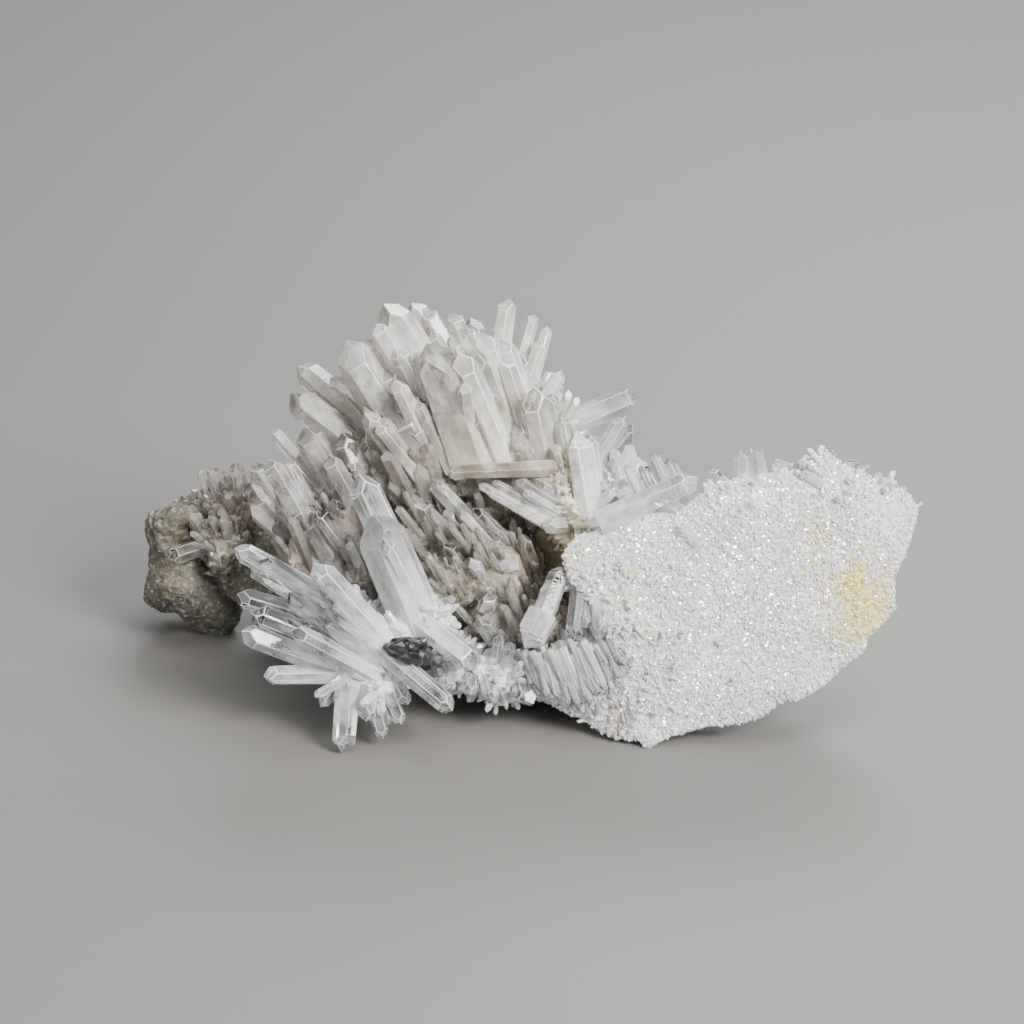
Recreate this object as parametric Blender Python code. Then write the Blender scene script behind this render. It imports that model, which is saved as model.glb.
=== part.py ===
"""A quartz cluster: crystals on a ridge of rough rock, with a plate of sugary quartz at the right.

Metres, +Z up, standing on z = 0 with the origin under the middle of its box.

The places of the crystals are written as (across, up, out) in millimetres on a layout sheet.
The sheet stands on the table and leans back, square to the line from the eye. Across runs to the
right, up runs up the sheet, and out runs from the sheet towards the eye.
"""

import math
import random

import bmesh
import bpy
from mathutils import Matrix, Vector, noise

# Driving dimensions, in millimetres and degrees
MM = 0.001
SHEET_LEAN = 22.0
EYE_DISTANCE = 450.0
EYE_ACROSS = -3.0
EYE_UP = 40.0
FOOTPRINT_MIDDLE = (-2.41, 32.28)
GAP = 0.35

# How quartz grows
TIP_NORMAL = math.radians(52.0)
SIDE_REACH = (0.8, 1.12)
LARGE_FACE_DROP = (0.1, 0.45)
SMALL_FACE_DROP = (-0.35, 0.15)
TIP_RAISE = 0.25
FULL_TIP_WIDTH = 4.3
TAPER = math.radians(1.2)
NEARLY_FLAT = math.radians(3.0)
LUMP_DETAIL = 1.6

LEAN_SIN = math.sin(math.radians(SHEET_LEAN))
LEAN_COS = math.cos(math.radians(SHEET_LEAN))


def on_sheet(across, up):
    """The point of the layout sheet, in millimetres in the part's frame."""
    return Vector((across, up * LEAN_SIN, up * LEAN_COS))


EYE = on_sheet(EYE_ACROSS, EYE_UP) + EYE_DISTANCE * Vector((0, -LEAN_COS, LEAN_SIN))


def spot(across, up, out):
    """A point that stands out of the sheet towards the eye."""
    return on_sheet(across, up).lerp(EYE, out / EYE_DISTANCE)


# Crystals: tip across, up, out; foot across, up, out; width
TOP_FAN = [
    (-24.8, 75.1, -16, -11, 55, -19, 7.0),
    (-19.9, 74.9, -19, -10, 58, -20, 4.0),
    (-17.5, 73.9, -18, -9, 58, -19, 4.0),
    (-13.3, 73.2, -21, -7, 58, -21, 3.5),
    (-13.2, 69.6, -10, -9, 57, -18, 2.8),
    (-25.8, 71.2, -12, -15, 54, -17, 4.0),
    (-31.0, 68.5, -14, -18, 49, -18, 7.5),
    (-27.5, 69.2, -16, -17, 52, -19, 5.0),
    (-38.8, 64.6, -26, -25, 53, -23, 4.5),
    (-40.0, 60.0, -24, -26, 49, -22, 6.0),
    (-17.0, 68.8, -9, -9.5, 47, -15, 9.4),
    (-12.2, 66.8, -8, -4, 47, -15, 6.0),
    (-11.0, 61.3, -5, -10, 52, -13, 2.6),
    (-3.6, 75.6, -20, -6, 57, -20, 3.8),
    (0.7, 72.9, -25, -4, 57, -22, 2.6),
    (2.9, 71.2, -26, -2, 55, -22, 2.8),
    (1.9, 68.6, -22, -3, 54, -20, 2.8),
    (5.5, 63.7, -22, -1, 53, -20, 2.8),
    (-8.5, 70.3, -13, -2, 52, -17, 5.0),
    (-4.9, 69.0, -15, 1, 52, -18, 4.2),
    (0.5, 61.0, -10, 3, 47, -17, 5.5),
    (8.1, 59.2, -12, 1, 47, -18, 2.0),
    (-27.7, 56.5, -9, -19, 46, -15, 3.2),
    (-25.6, 54.6, -8, -17, 44, -14, 3.2),
    (-33.5, 62.5, -20, -22, 50, -20, 4.2),
    (-22.5, 62.0, -9, -15, 47, -15, 3.4),
]
LEFT_FAN = [
    (-43.5, 48.9, -17, -33, 31, -15, 4.0),
    (-40.6, 48.8, -19, -33, 33, -17, 2.8),
    (-46.0, 48.0, -26, -36, 34, -20, 5.0),
    (-42.0, 43.5, -19, -32, 31, -16, 6.4),
    (-35.8, 40.2, -11, -28, 30, -14, 3.2),
    (-38.0, 54.2, -19, -28, 38, -18, 5.0),
    (-43.0, 53.7, -25, -31, 40, -20, 3.2),
    (-33.5, 49.5, -14, -26, 36, -16, 3.4),
    (-31.5, 53.5, -16, -25, 38, -18, 4.2),
    (-46.5, 41.5, -24, -35, 32, -19, 4.2),
    (-30.2, 34.9, -6, -28, 30, -12, 1.6),
]
STRIPED = [
    (-28.8, 46.7, -4, -19, 25, -9, 5.6),
    (-26.0, 39.8, -1, -18, 21, -7, 8.4),
    (-24.5, 35.5, 1, -18, 23, -6, 3.6),
]
FRONT_SPRAY = [
    (-49.4, 34.3, -3, -28, 22, -5, 3.8),
    (-45.5, 32.0, 3, -26, 19, -3, 4.6),
    (-36.0, 31.6, 4, -24, 18, -3, 4.2),
    (-46.8, 30.3, -5, -30, 20, -6, 2.2),
    (-48.9, 26.2, 0, -29, 20, -4, 3.4),
    (-40.3, 26.6, 7, -25, 15, -2, 4.4),
    (-46.7, 23.3, 3, -27, 15, -3, 4.4),
    (-39.9, 20.4, 8, -26, 13, -1, 3.2),
    (-48.1, 20.0, 2, -28, 13, -4, 4.2),
    (-42.4, 18.6, -2, -29, 13, -5, 3.0),
    (-44.7, 12.7, 1, -29, 13, -3, 3.2),
    (-31.2, -0.3, 1, -30, 16, -2, 4.4),
    (-24.5, 2.2, 0, -28, 14, -3, 2.4),
    (-12.8, 7.0, 5, -27, 19, -2, 4.0),
    (-8.5, 14.0, 0, -20, 23, -5, 4.2),
    (-21.3, 4.6, 1, -25, 13, -3, 2.2),
    (-27.5, 5.0, 2, -26, 13, -2, 3.2),
    (-35.0, 7.5, -1, -29, 14, -4, 2.2),
    (-36.0, 9.2, 2, -28, 14, -3, 1.8),
    (-20.3, 7.8, 0, -24, 15, -4, 2.4),
    (-33.0, 26.5, -3, -26, 19, -6, 3.4),
]
RIGHT_BLADES = [
    (7.5, 53.6, -11, 10.0, 37.5, -12, 5.4),
    (5.2, 56.0, -12, 8.0, 41, -13, 3.0),
    (9.8, 53.2, -12, 11.0, 41, -13, 3.0),
    (11.2, 50.0, -13, 11.0, 39, -13, 2.4),
    (4.0, 51.5, -11, 7.0, 39, -13, 2.8),
    (-14.0, 46.6, -4, 8, 47.5, -13, 2.5),
    (-8.5, 44.6, -5, 8, 35.5, -12, 1.8),
    (-7.0, 43.2, -5, 8, 34.8, -12, 1.5),
    (-6.4, 45.0, -6, 8, 37.0, -12, 1.8),
    (-2.3, 45.4, -6, 9, 38.5, -13, 2.2),
    (-1.2, 43.6, -6, 9, 37.5, -13, 1.6),
    (1.2, 45.4, -8, 9, 40, -13, 2.2),
    (14.3, 45.2, -11, 8, 43, -13, 2.3),
    (14.2, 43.8, -9, 9, 38.5, -12, 1.9),
    (2.0, 37.5, -7, 8, 38, -12, 2.6),
]
GULLY = [
    (-19.5, 43.0, -12, -12, 30, -16, 4.0),
    (-14.5, 40.5, -12, -9, 30, -16, 4.0),
    (-9.8, 32.1, -7, -6, 26, -15, 2.8),
    (-1.6, 30.3, -8, -8, 33, -15, 4.0),
    (-8.3, 23.5, -6, -2, 29, -14, 3.4),
    (-12.3, 25.6, -7, -18, 24, -12, 1.6),
    (-9.0, 26.2, -9, -14, 24, -13, 1.7),
    (-8.5, 22.5, -5, -4, 16, -13, 2.8),
    (-9.6, 40.8, -9, 0, 31, -15, 2.6),
    (-16.5, 45.5, -10, -5, 33, -15, 2.8),
    (-11.5, 40.0, -8, -4, 32, -14, 1.7),
    (-1.5, 36.0, -9, 1, 29, -15, 2.8),
    (-14.5, 35.5, -10, -9, 27, -15, 3.0),
    (-2.8, 22.0, -7, -3, 27, -14, 2.4),
]
SLAB_LARGE = [(28.3, 45.8, -0.8, 11.5, 38.0, -2.4, 4.6)]
SLAB_TOP = [
    (35.0, 50.4, -4, 35.4, 41, -4, 2.4),
    (36.8, 50.7, -5, 37.0, 41, -4, 2.7),
    (37.9, 50.9, -3, 39.5, 42, -4, 1.9),
    (39.7, 48.3, -6, 46.0, 46, -4, 2.1),
    (29.3, 47.2, -3, 34.5, 42, -3, 2.3),
    (20.3, 50.0, -8, 25.5, 38, -5, 2.4),
    (22.8, 48.8, -9, 28.0, 40, -5, 2.2),
    (18.4, 48.3, -9, 23.0, 38, -5, 2.2),
    (16.0, 48.1, -10, 21.5, 37, -5, 2.0),
    (53.8, 48.8, -7, 52.0, 43, -4, 2.4),
    (56.0, 48.2, -7, 54.0, 42, -4, 2.4),
    (58.2, 46.8, -7, 56.0, 41, -4, 2.4),
    (60.4, 45.7, -6, 58.0, 41, -4, 2.0),
    (49.6, 50.8, -4, 49.0, 44, -3, 3.4),
]
SLAB_LEFT = [
    (-0.8, 17.0, 1, 2.4, 23.0, -0.6, 4.8),
    (5.4, 31.0, -3, 0.6, 19.0, 0.4, 3.4),
    (4.4, 27.6, -1.5, 0.8, 18.4, 0.8, 2.6),
    (7.2, 18.5, 0, 8.5, 28, -4, 3.0),
    (9.2, 20.5, -1, 9.8, 28, -4, 2.4),
    (11.5, 18.6, 0, 11.5, 27, -3, 3.2),
    (1.6, 26.6, -2, 7.0, 28, -4, 1.8),
]
FIBRES = [
    (0.5, 8.2, -3.6, -1.0, 15.5, -7, 2.2),
    (3.4, 8.6, -2.6, 0.8, 16.0, -6, 2.4),
    (6.2, 7.2, -1.6, 2.6, 16.0, -5, 2.4),
    (8.6, 6.0, -1.0, 4.8, 16.5, -5, 2.6),
    (11.0, 6.6, -0.2, 7.2, 17.0, -4, 2.6),
    (12.9, 8.6, 0.2, 9.6, 17.6, -4, 2.6),
    (15.6, 9.8, 0.8, 11.8, 18.6, -3, 2.8),
    (16.6, 13.4, 1.0, 13.4, 20.0, -3, 2.4),
    (13.9, 4.6, 0.2, 11.0, 11.0, -3, 2.2),
]
LOWER_EDGE = [
    (-6.1, 8.2, -2, -8, 14, -8, 2.8),
    (-4.2, 8.3, -3, -5, 14, -9, 2.4),
    (0.6, 7.9, -4, -3, 12.5, -9, 3.2),
    (-2.0, 8.6, -3, -2, 14, -9, 2.4),
    (-10.0, 9.4, -2, -10, 15, -8, 2.6),
    (-14.5, 10.5, -2, -12, 15, -8, 2.4),
    (-5.0, 19.5, -3, -6, 13, -9, 2.2),
    (-1.3, 13.6, -2, -4.5, 11.5, -8, 1.8),
    (-10.5, 17.5, -1, -8, 13, -8, 2.4),
    (-3.0, 18.2, -3, -5, 12, -9, 2.2),
]
LONE_RIGHT = [(17.8, 59.5, -32, 4.5, 54, -29, 4.2)]
KNOB = [
    (-60.6, 32.3, -29, -51, 35.5, -34, 3.0),
    (-50.9, 28.2, -34, -50.5, 35, -40, 1.9),
    (-55.1, 47.2, -42, -52, 38, -41, 1.8),
    (-53.6, 47.5, -40, -51, 38, -41, 1.8),
    (-52.3, 47.5, -43, -51, 38, -42, 1.8),
    (-51.0, 47.0, -41, -49.5, 38, -41, 1.8),
    (-49.0, 48.3, -38, -48, 38, -41, 2.8),
    (-52.4, 43.2, -37, -49, 38, -41, 2.2),
    (-46.5, 45.0, -38, -47, 37, -41, 2.6),
    (-54.5, 36.5, -33, -50, 37, -41, 2.4),
]

# Rough quartz that the crystals grow from: middle across, up, out; half sizes; roughness
TOP_FAN_ROOTS = [
    (-9, 51, -21, 10, 8, 8, 0.25),
    (-18, 48, -20, 9, 8, 7, 0.25),
    (-1, 48, -20, 7, 8, 7, 0.25),
    (-26, 47, -21, 6, 6, 6, 0.25),
]
LEFT_FAN_ROOTS = [
    (-28, 36, -18, 6, 7, 6, 0.25),
    (-34, 33, -18, 6, 6, 5, 0.25),
    (-29.5, 28, -14, 5, 5, 4, 0.25),
]
STRIPED_ROOTS = [(-18, 22, -8, 5, 5, 4, 0.2)]
SPRAY_ROOTS = [
    (-26, 17, -6, 5, 5, 4, 0.3),
    (-29, 21, -7, 4, 4, 4, 0.3),
    (-22, 20, -6, 4, 4, 4, 0.3),
    (-26, 11, -3, 4, 4, 3, 0.3),
    (-25, 19, -11, 5, 5, 5, 0.3),
]
BLADE_ROOTS = [(8, 41, -14, 4, 6, 3, 0.3), (4.5, 46, -14, 4, 5, 3, 0.4), (8, 36, -13, 4, 4, 3, 0.3)]
GULLY_ROOTS = [
    (-6, 30, -15, 8, 7, 6, 0.3),
    (-13, 28, -14, 6, 6, 5, 0.3),
    (-4, 22, -13, 6, 6, 5, 0.3),
    (-12, 35, -15, 5, 5, 5, 0.3),
    (-17, 38, -18, 6, 6, 6, 0.3),
    (2.5, 21, -11, 4.5, 6, 4, 0.3),
]
LOWER_EDGE_ROOTS = [(-5, 13.5, -12, 5, 7, 4, 0.3), (-11, 15, -11, 5, 7, 4, 0.3)]
KNOB_ROOTS = [(-49.5, 35, -34, 5, 6, 5, 0.3), (-51, 39, -40, 4.5, 6, 4.5, 0.3)]

# Rough rock, in the part's own frame before it is centred: middle x, y, z; half sizes; roughness
ROCK_KNOB = (-60.8, 51, 13, 10, 9.5, 13, 0.25)
ROCK_BARE = [
    (3, 38, 10, 20, 11, 13, 0.2),
    (16, 40, 10, 12, 10, 12, 0.2),
    (-22, 42, 17, 16, 9, 11, 0.2),
    (-43, 47, 15, 14, 9, 10, 0.2),
]
ROCK_COVERED = [
    (-4, 38, 31, 12, 9, 11, 0.2),
    (-8, 29, 16, 17, 10, 10, 0.2),
    (17, 25, 16, 14, 11, 12, 0.2),
    (-24, 24, 16, 10, 9, 8, 0.2),
    (8, 32, 24, 10, 9, 10, 0.2),
]

# The roots behind the fan in the same frame, and the root of the slab's reverse on the sheet
REAR_ROOTS = [(-6, 47, 38, 14, 8, 11, 0.2), (8, 48, 27, 11, 8, 9, 0.2), (-23, 49, 29, 10, 8, 8, 0.2)]
SLAB_REAR_ROOT = (36, 27, -11, 17, 6, 11, 0.15)

# Crystals placed by a seeded rule around a root: name; reach; direction; spread; count; lengths; widths
REAR_SPROUTS = [
    ("rear top", (12, 7, 9), (-0.1, 0.8, 0.75), 0.75, 12, (8, 15), (3.4, 5.5)),
    ("rear right", (9, 7, 7), (0.6, 0.8, 0.6), 0.75, 7, (6, 12), (2.8, 4.2)),
    ("rear left", (8, 7, 6), (-0.5, 0.9, 0.5), 0.7, 6, (6, 12), (2.8, 4.4)),
]
SLAB_REAR_SPROUTS = ("slab rear", (14, 4, 9), (0, 0.95, 0.3), 0.8, 10, (3, 8), (2.4, 4.2))
SPROUT_SUNK = 0.5

# The plate of sugary quartz: its outline on the sheet, clockwise from the upper left
SLAB_OUTLINE = [
    (5.2, 33), (7.5, 36.2), (10.2, 36.7), (16, 39.2), (25.4, 40.6), (28.8, 44), (33.7, 45.5), (39, 46),
    (42.5, 46.5), (46.9, 49), (49.4, 50.2), (52.3, 48), (57.7, 45.6), (60.6, 44.6), (63.5, 43), (64.9, 40.7),
    (64, 36.8), (62.5, 32.3), (61, 29.9), (60.8, 23.5), (58.6, 21), (56.4, 19.2), (55.7, 16.7), (51.3, 13.3),
    (48.9, 10.8), (44.5, 8.4), (42, 8.4), (38.6, 5.5), (33.7, 4.5), (29.3, 4), (23, 2.3), (19.5, 0.3),
    (18, 1.6), (16.6, 6.4), (17.1, 12.3), (13.2, 18.2), (11, 22), (9.5, 26), (6.2, 28.5),
]
SLAB_THICKNESS = 9.0
DRUSE_OUTLINE = [
    (-4.5, 9), (-3.5, 13), (0, 16), (4, 17), (8.1, 17.5), (14, 19), (19, 14), (19, 3), (17, 1.8),
    (12.3, 3), (9, 5.3), (5.5, 6.8), (2, 8.7),
]
DRUSE_THICKNESS = 7.0
DRUSE_SLOPE = 0.4
DRUSE_EDGE = 16.0
SLAB_FALL = 0.004
SLAB_FALL_START = 45.0
PLATE_CELL = 11.0
PLATE_WAVE = 1.6
PLATE_WAVE_SIZE = 9.0
PLATE_EDGE_WEAR = 1.2
PLATE_BACK_INSET = 0.08
PLATE_BACK_WAVE = 0.35

# The black grain: middle across, up, out; half sizes; roughness
GRAIN = (-20.2, 17.0, 2.2, 3.8, 2.4, 2.2, 0.35)


# Making single shells, in millimetres

def shave(bm, point, normal):
    """Cuts away what lies beyond a plane and closes the cut with one flat face."""
    geometry = bm.verts[:] + bm.edges[:] + bm.faces[:]
    cut = bmesh.ops.bisect_plane(bm, geom=geometry, plane_co=point, plane_no=normal, clear_outer=True)
    rim = [item for item in cut["geom_cut"] if isinstance(item, bmesh.types.BMEdge)]
    if rim:
        bmesh.ops.edgeloop_fill(bm, edges=rim)


def add_shell(shells, bm):
    """Adds one closed shell to a set of shells that overlap."""
    bmesh.ops.recalc_face_normals(bm, faces=bm.faces[:])
    mesh = bpy.data.meshes.new("shell")
    bm.to_mesh(mesh)
    bm.free()
    shells.append(mesh)


def add_crystal(shells, tip, foot, width, rng, swell):
    """A block cut by six sides and by the six unequal faces of its tip."""
    along = tip - foot
    half = width / 2
    sides = [half * rng.uniform(*SIDE_REACH) for _ in range(6)]
    drops = [half * rng.uniform(*(SMALL_FACE_DROP if i % 2 else LARGE_FACE_DROP)) for i in range(6)]
    start = rng.uniform(0, math.tau)
    height = along.length + half * TIP_RAISE
    bm = bmesh.new()
    block = Matrix.Translation((0, 0, height / 2)) @ Matrix.Diagonal((3 * width, 3 * width, 2 * height, 1))
    bmesh.ops.create_cube(bm, size=1.0, matrix=block)
    shave(bm, (0, 0, -swell), (0, 0, -1))
    for i in range(6):
        turn = start + math.tau * i / 6
        side = Vector((math.cos(turn), math.sin(turn), math.tan(TAPER)))
        reach = sides[i] + swell
        shave(bm, (reach * side.x, reach * side.y, height / 2), side)
        if i % 2 and width < FULL_TIP_WIDTH:
            continue
        face = Vector((side.x * math.sin(TIP_NORMAL), side.y * math.sin(TIP_NORMAL), math.cos(TIP_NORMAL)))
        shave(bm, (0, 0, height - drops[i] + swell / math.cos(TIP_NORMAL)), face)
    turned = Vector((0, 0, 1)).rotation_difference(along).to_matrix().to_4x4()
    bmesh.ops.transform(bm, matrix=Matrix.Translation(foot) @ turned, verts=bm.verts[:])
    add_shell(shells, bm)


def fatten(bm, swell):
    bmesh.ops.recalc_face_normals(bm, faces=bm.faces[:])
    bm.normal_update()
    moved = [vert.co + vert.normal * swell * vert.calc_shell_factor() for vert in bm.verts]
    for vert, place in zip(bm.verts, moved):
        vert.co = place


def add_lump(shells, middle, half_sizes, roughness, swell, fineness=2):
    """A rough rounded mass: a ball pushed in and out."""
    bm = bmesh.new()
    bmesh.ops.create_icosphere(bm, subdivisions=fineness, radius=1.0)
    for vert in bm.verts:
        rough = 1 + 2 * roughness * noise.noise(vert.co * LUMP_DETAIL + middle)
        vert.co = middle + Vector(half_sizes) * vert.co * rough
    if swell:
        fatten(bm, swell)
    add_shell(shells, bm)


def add_plate(shells, outline, front, thickness, swell):
    """A broken plate: the outline cut in cells, then drawn back and roughened."""
    bm = bmesh.new()
    bm.faces.new([bm.verts.new((across, up, 0)) for across, up in outline])
    for axis in (0, 1):
        low = min(point[axis] for point in outline)
        high = max(point[axis] for point in outline)
        cells = math.ceil((high - low) / PLATE_CELL)
        normal = Vector((axis == 0, axis == 1, 0))
        for i in range(1, cells):
            geometry = bm.verts[:] + bm.edges[:] + bm.faces[:]
            place = normal * (low + (high - low) * i / cells)
            bmesh.ops.bisect_plane(bm, geom=geometry, plane_co=place, plane_no=normal)
    bmesh.ops.triangulate(bm, faces=bm.faces[:])
    rim = {vert for vert in bm.verts if vert.is_boundary}
    drawn = bmesh.ops.extrude_face_region(bm, geom=bm.faces[:])
    back = {item for item in drawn["geom"] if isinstance(item, bmesh.types.BMVert)}
    middle = sum((Vector(point + (0,)) for point in outline), Vector()) / len(outline)
    for vert in bm.verts:
        across, up, _ = vert.co
        wave = noise.noise(Vector((across, up, 0)) / PLATE_WAVE_SIZE)
        if vert in back:
            inset = vert.co.lerp(middle, PLATE_BACK_INSET)
            vert.co = spot(inset.x, inset.y, front(across) - thickness * (1 + PLATE_BACK_WAVE * wave))
        else:
            worn = PLATE_EDGE_WEAR if vert in rim else 0
            vert.co = spot(across, up, front(across) + PLATE_WAVE * wave - worn)
    if swell:
        fatten(bm, swell)
    add_shell(shells, bm)


# The pieces: each returns its overlapping shells, swollen all round by a distance

def add_crystals(shells, rows, name, swell):
    rng = random.Random(name)
    for row in rows:
        add_crystal(shells, spot(*row[:3]), spot(*row[3:6]), row[6], rng, swell)


def add_roots(shells, roots, swell, fineness=1):
    for row in roots:
        add_lump(shells, spot(*row[:3]), row[3:6], row[6], swell, fineness)


def add_sprouts(shells, middle, row, swell):
    """Seeded crystals that grow out of a mass around a direction."""
    name, reach, facing, spread, count, lengths, widths = row
    rng = random.Random(name)
    facing = Vector(facing).normalized()
    for _ in range(count):
        side = Vector((rng.uniform(-1, 1), rng.uniform(-1, 1), rng.uniform(-1, 1))) * spread
        heading = (facing + side).normalized()
        foot = Vector(middle) + Vector(reach) * heading * SPROUT_SUNK
        tip = Vector(middle) + Vector(reach) * heading + heading * rng.uniform(*lengths)
        add_crystal(shells, tip, foot, rng.uniform(*widths), rng, swell)


def rock_matrix(swell=0.0):
    shells = []
    add_lump(shells, Vector(ROCK_KNOB[:3]), ROCK_KNOB[3:6], ROCK_KNOB[6], swell, fineness=3)
    for row in ROCK_BARE:
        add_lump(shells, Vector(row[:3]), row[3:6], row[6], swell)
    for row in ROCK_COVERED:
        add_lump(shells, Vector(row[:3]), row[3:6], row[6], swell, fineness=1)
    return shells


def slab_front(across):
    """The broken face falls back a little towards its right edge."""
    return -SLAB_FALL * max(0.0, across - SLAB_FALL_START) ** 2


def druse_front(across):
    """The side of parallel crystals slopes back to the left of the slab."""
    return -DRUSE_SLOPE * max(0.0, DRUSE_EDGE - across)


def quartz_slab(swell=0.0):
    shells = []
    add_plate(shells, SLAB_OUTLINE, slab_front, SLAB_THICKNESS, swell)
    add_plate(shells, DRUSE_OUTLINE, druse_front, DRUSE_THICKNESS, swell)
    add_crystals(shells, SLAB_TOP, "slab top", swell)
    add_crystals(shells, SLAB_LEFT, "slab left", swell)
    add_crystals(shells, FIBRES, "fibres", swell)
    return shells


def dark_grain(swell=0.0):
    shells = []
    add_roots(shells, [GRAIN], swell, fineness=2)
    return shells


def front_spray_crystals(swell=0.0):
    shells = []
    add_roots(shells, SPRAY_ROOTS, swell)
    add_crystals(shells, FRONT_SPRAY, "spray", swell)
    return shells


def striped_crystals(swell=0.0):
    shells = []
    add_roots(shells, STRIPED_ROOTS, swell)
    add_crystals(shells, STRIPED, "striped", swell)
    return shells


def left_fan_crystals(swell=0.0):
    shells = []
    add_roots(shells, LEFT_FAN_ROOTS, swell)
    add_crystals(shells, LEFT_FAN, "left fan", swell)
    return shells


def right_blade_crystals(swell=0.0):
    shells = []
    add_roots(shells, BLADE_ROOTS, swell)
    add_crystals(shells, RIGHT_BLADES, "blades", swell)
    return shells


def top_fan_crystals(swell=0.0):
    shells = []
    add_roots(shells, TOP_FAN_ROOTS, swell)
    add_crystals(shells, TOP_FAN, "top fan", swell)
    return shells


def lone_right_crystal(swell=0.0):
    shells = []
    add_crystals(shells, LONE_RIGHT, "lone", swell)
    return shells


def gully_crystals(swell=0.0):
    shells = []
    add_roots(shells, GULLY_ROOTS, swell)
    add_crystals(shells, GULLY, "gully", swell)
    return shells


def slab_large_crystal(swell=0.0):
    shells = []
    add_crystals(shells, SLAB_LARGE, "slab large", swell)
    return shells


def lower_edge_crystals(swell=0.0):
    shells = []
    add_roots(shells, LOWER_EDGE_ROOTS, swell)
    add_crystals(shells, LOWER_EDGE, "lower edge", swell)
    return shells


def rear_crystals(swell=0.0):
    shells = []
    for row in REAR_ROOTS:
        add_lump(shells, Vector(row[:3]), row[3:6], row[6], swell)
    for root, sprouts in zip(REAR_ROOTS, REAR_SPROUTS):
        add_sprouts(shells, root[:3], sprouts, swell)
    return shells


def knob_crystals(swell=0.0):
    shells = []
    add_roots(shells, KNOB_ROOTS, swell)
    add_crystals(shells, KNOB, "knob", swell)
    return shells


def slab_rear_crystals(swell=0.0):
    shells = []
    add_roots(shells, [SLAB_REAR_ROOT], swell, fineness=2)
    add_sprouts(shells, spot(*SLAB_REAR_ROOT[:3]), SLAB_REAR_SPROUTS, swell)
    return shells


# Joining, cutting and finishing

def joined(meshes, name):
    """One object that holds the shells, still overlapping."""
    bm = bmesh.new()
    for mesh in meshes:
        bm.from_mesh(mesh)
    mesh = bpy.data.meshes.new(name)
    bm.to_mesh(mesh)
    bm.free()
    obj = bpy.data.objects.new(name, mesh)
    bpy.context.collection.objects.link(obj)
    return obj


def settle(obj, other, operation):
    """Applies one Boolean and removes the object that it used."""
    boolean = obj.modifiers.new(operation, "BOOLEAN")
    boolean.solver = "EXACT"
    boolean.use_self = True
    boolean.operation = operation
    boolean.object = other
    graph = bpy.context.evaluated_depsgraph_get()
    mesh = bpy.data.meshes.new_from_object(obj.evaluated_get(graph))
    obj.modifiers.clear()
    obj.data = mesh
    bpy.data.objects.remove(other)


def bodies_of(bm):
    """The separate bodies, each a set of faces."""
    left = set(bm.faces)
    while left:
        body = {left.pop()}
        waiting = list(body)
        while waiting:
            face = waiting.pop()
            for edge in face.edges:
                for near in edge.link_faces:
                    if near in left:
                        left.remove(near)
                        body.add(near)
                        waiting.append(near)
        yield body


def volume_of(body):
    return abs(sum(face.calc_center_median().dot(face.normal) * face.calc_area() for face in body)) / 3


def keep_largest(bm):
    """Removes the chips that the cuts leave."""
    bodies = sorted(bodies_of(bm), key=volume_of)
    chips = [face for body in bodies[:-1] for face in body]
    bmesh.ops.delete(bm, geom=chips, context="FACES")


def finish(obj):
    """Keeps one body, stands it flat on the table and takes it to metres."""
    bm = bmesh.new()
    bm.from_mesh(obj.data)
    keep_largest(bm)
    shave(bm, (0, 0, 0), (0, 0, -1))
    bmesh.ops.dissolve_limit(bm, angle_limit=NEARLY_FLAT, verts=bm.verts[:], edges=bm.edges[:])
    bmesh.ops.triangulate(bm, faces=bm.faces[:])
    shift = Matrix.Translation((-FOOTPRINT_MIDDLE[0] * MM, -FOOTPRINT_MIDDLE[1] * MM, 0))
    bmesh.ops.transform(bm, matrix=shift @ Matrix.Scale(MM, 4), verts=bm.verts[:])
    bm.to_mesh(obj.data)
    bm.free()


def material(name, colour, roughness, clear=0.0):
    made = bpy.data.materials.new(name)
    made.use_nodes = True
    shader = made.node_tree.nodes["Principled BSDF"]
    shader.inputs["Base Color"].default_value = (*colour, 1)
    shader.inputs["Roughness"].default_value = roughness
    shader.inputs["Metallic"].default_value = 0.0
    shader.inputs["Transmission Weight"].default_value = clear
    shader.inputs["IOR"].default_value = 1.55
    return made


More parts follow.
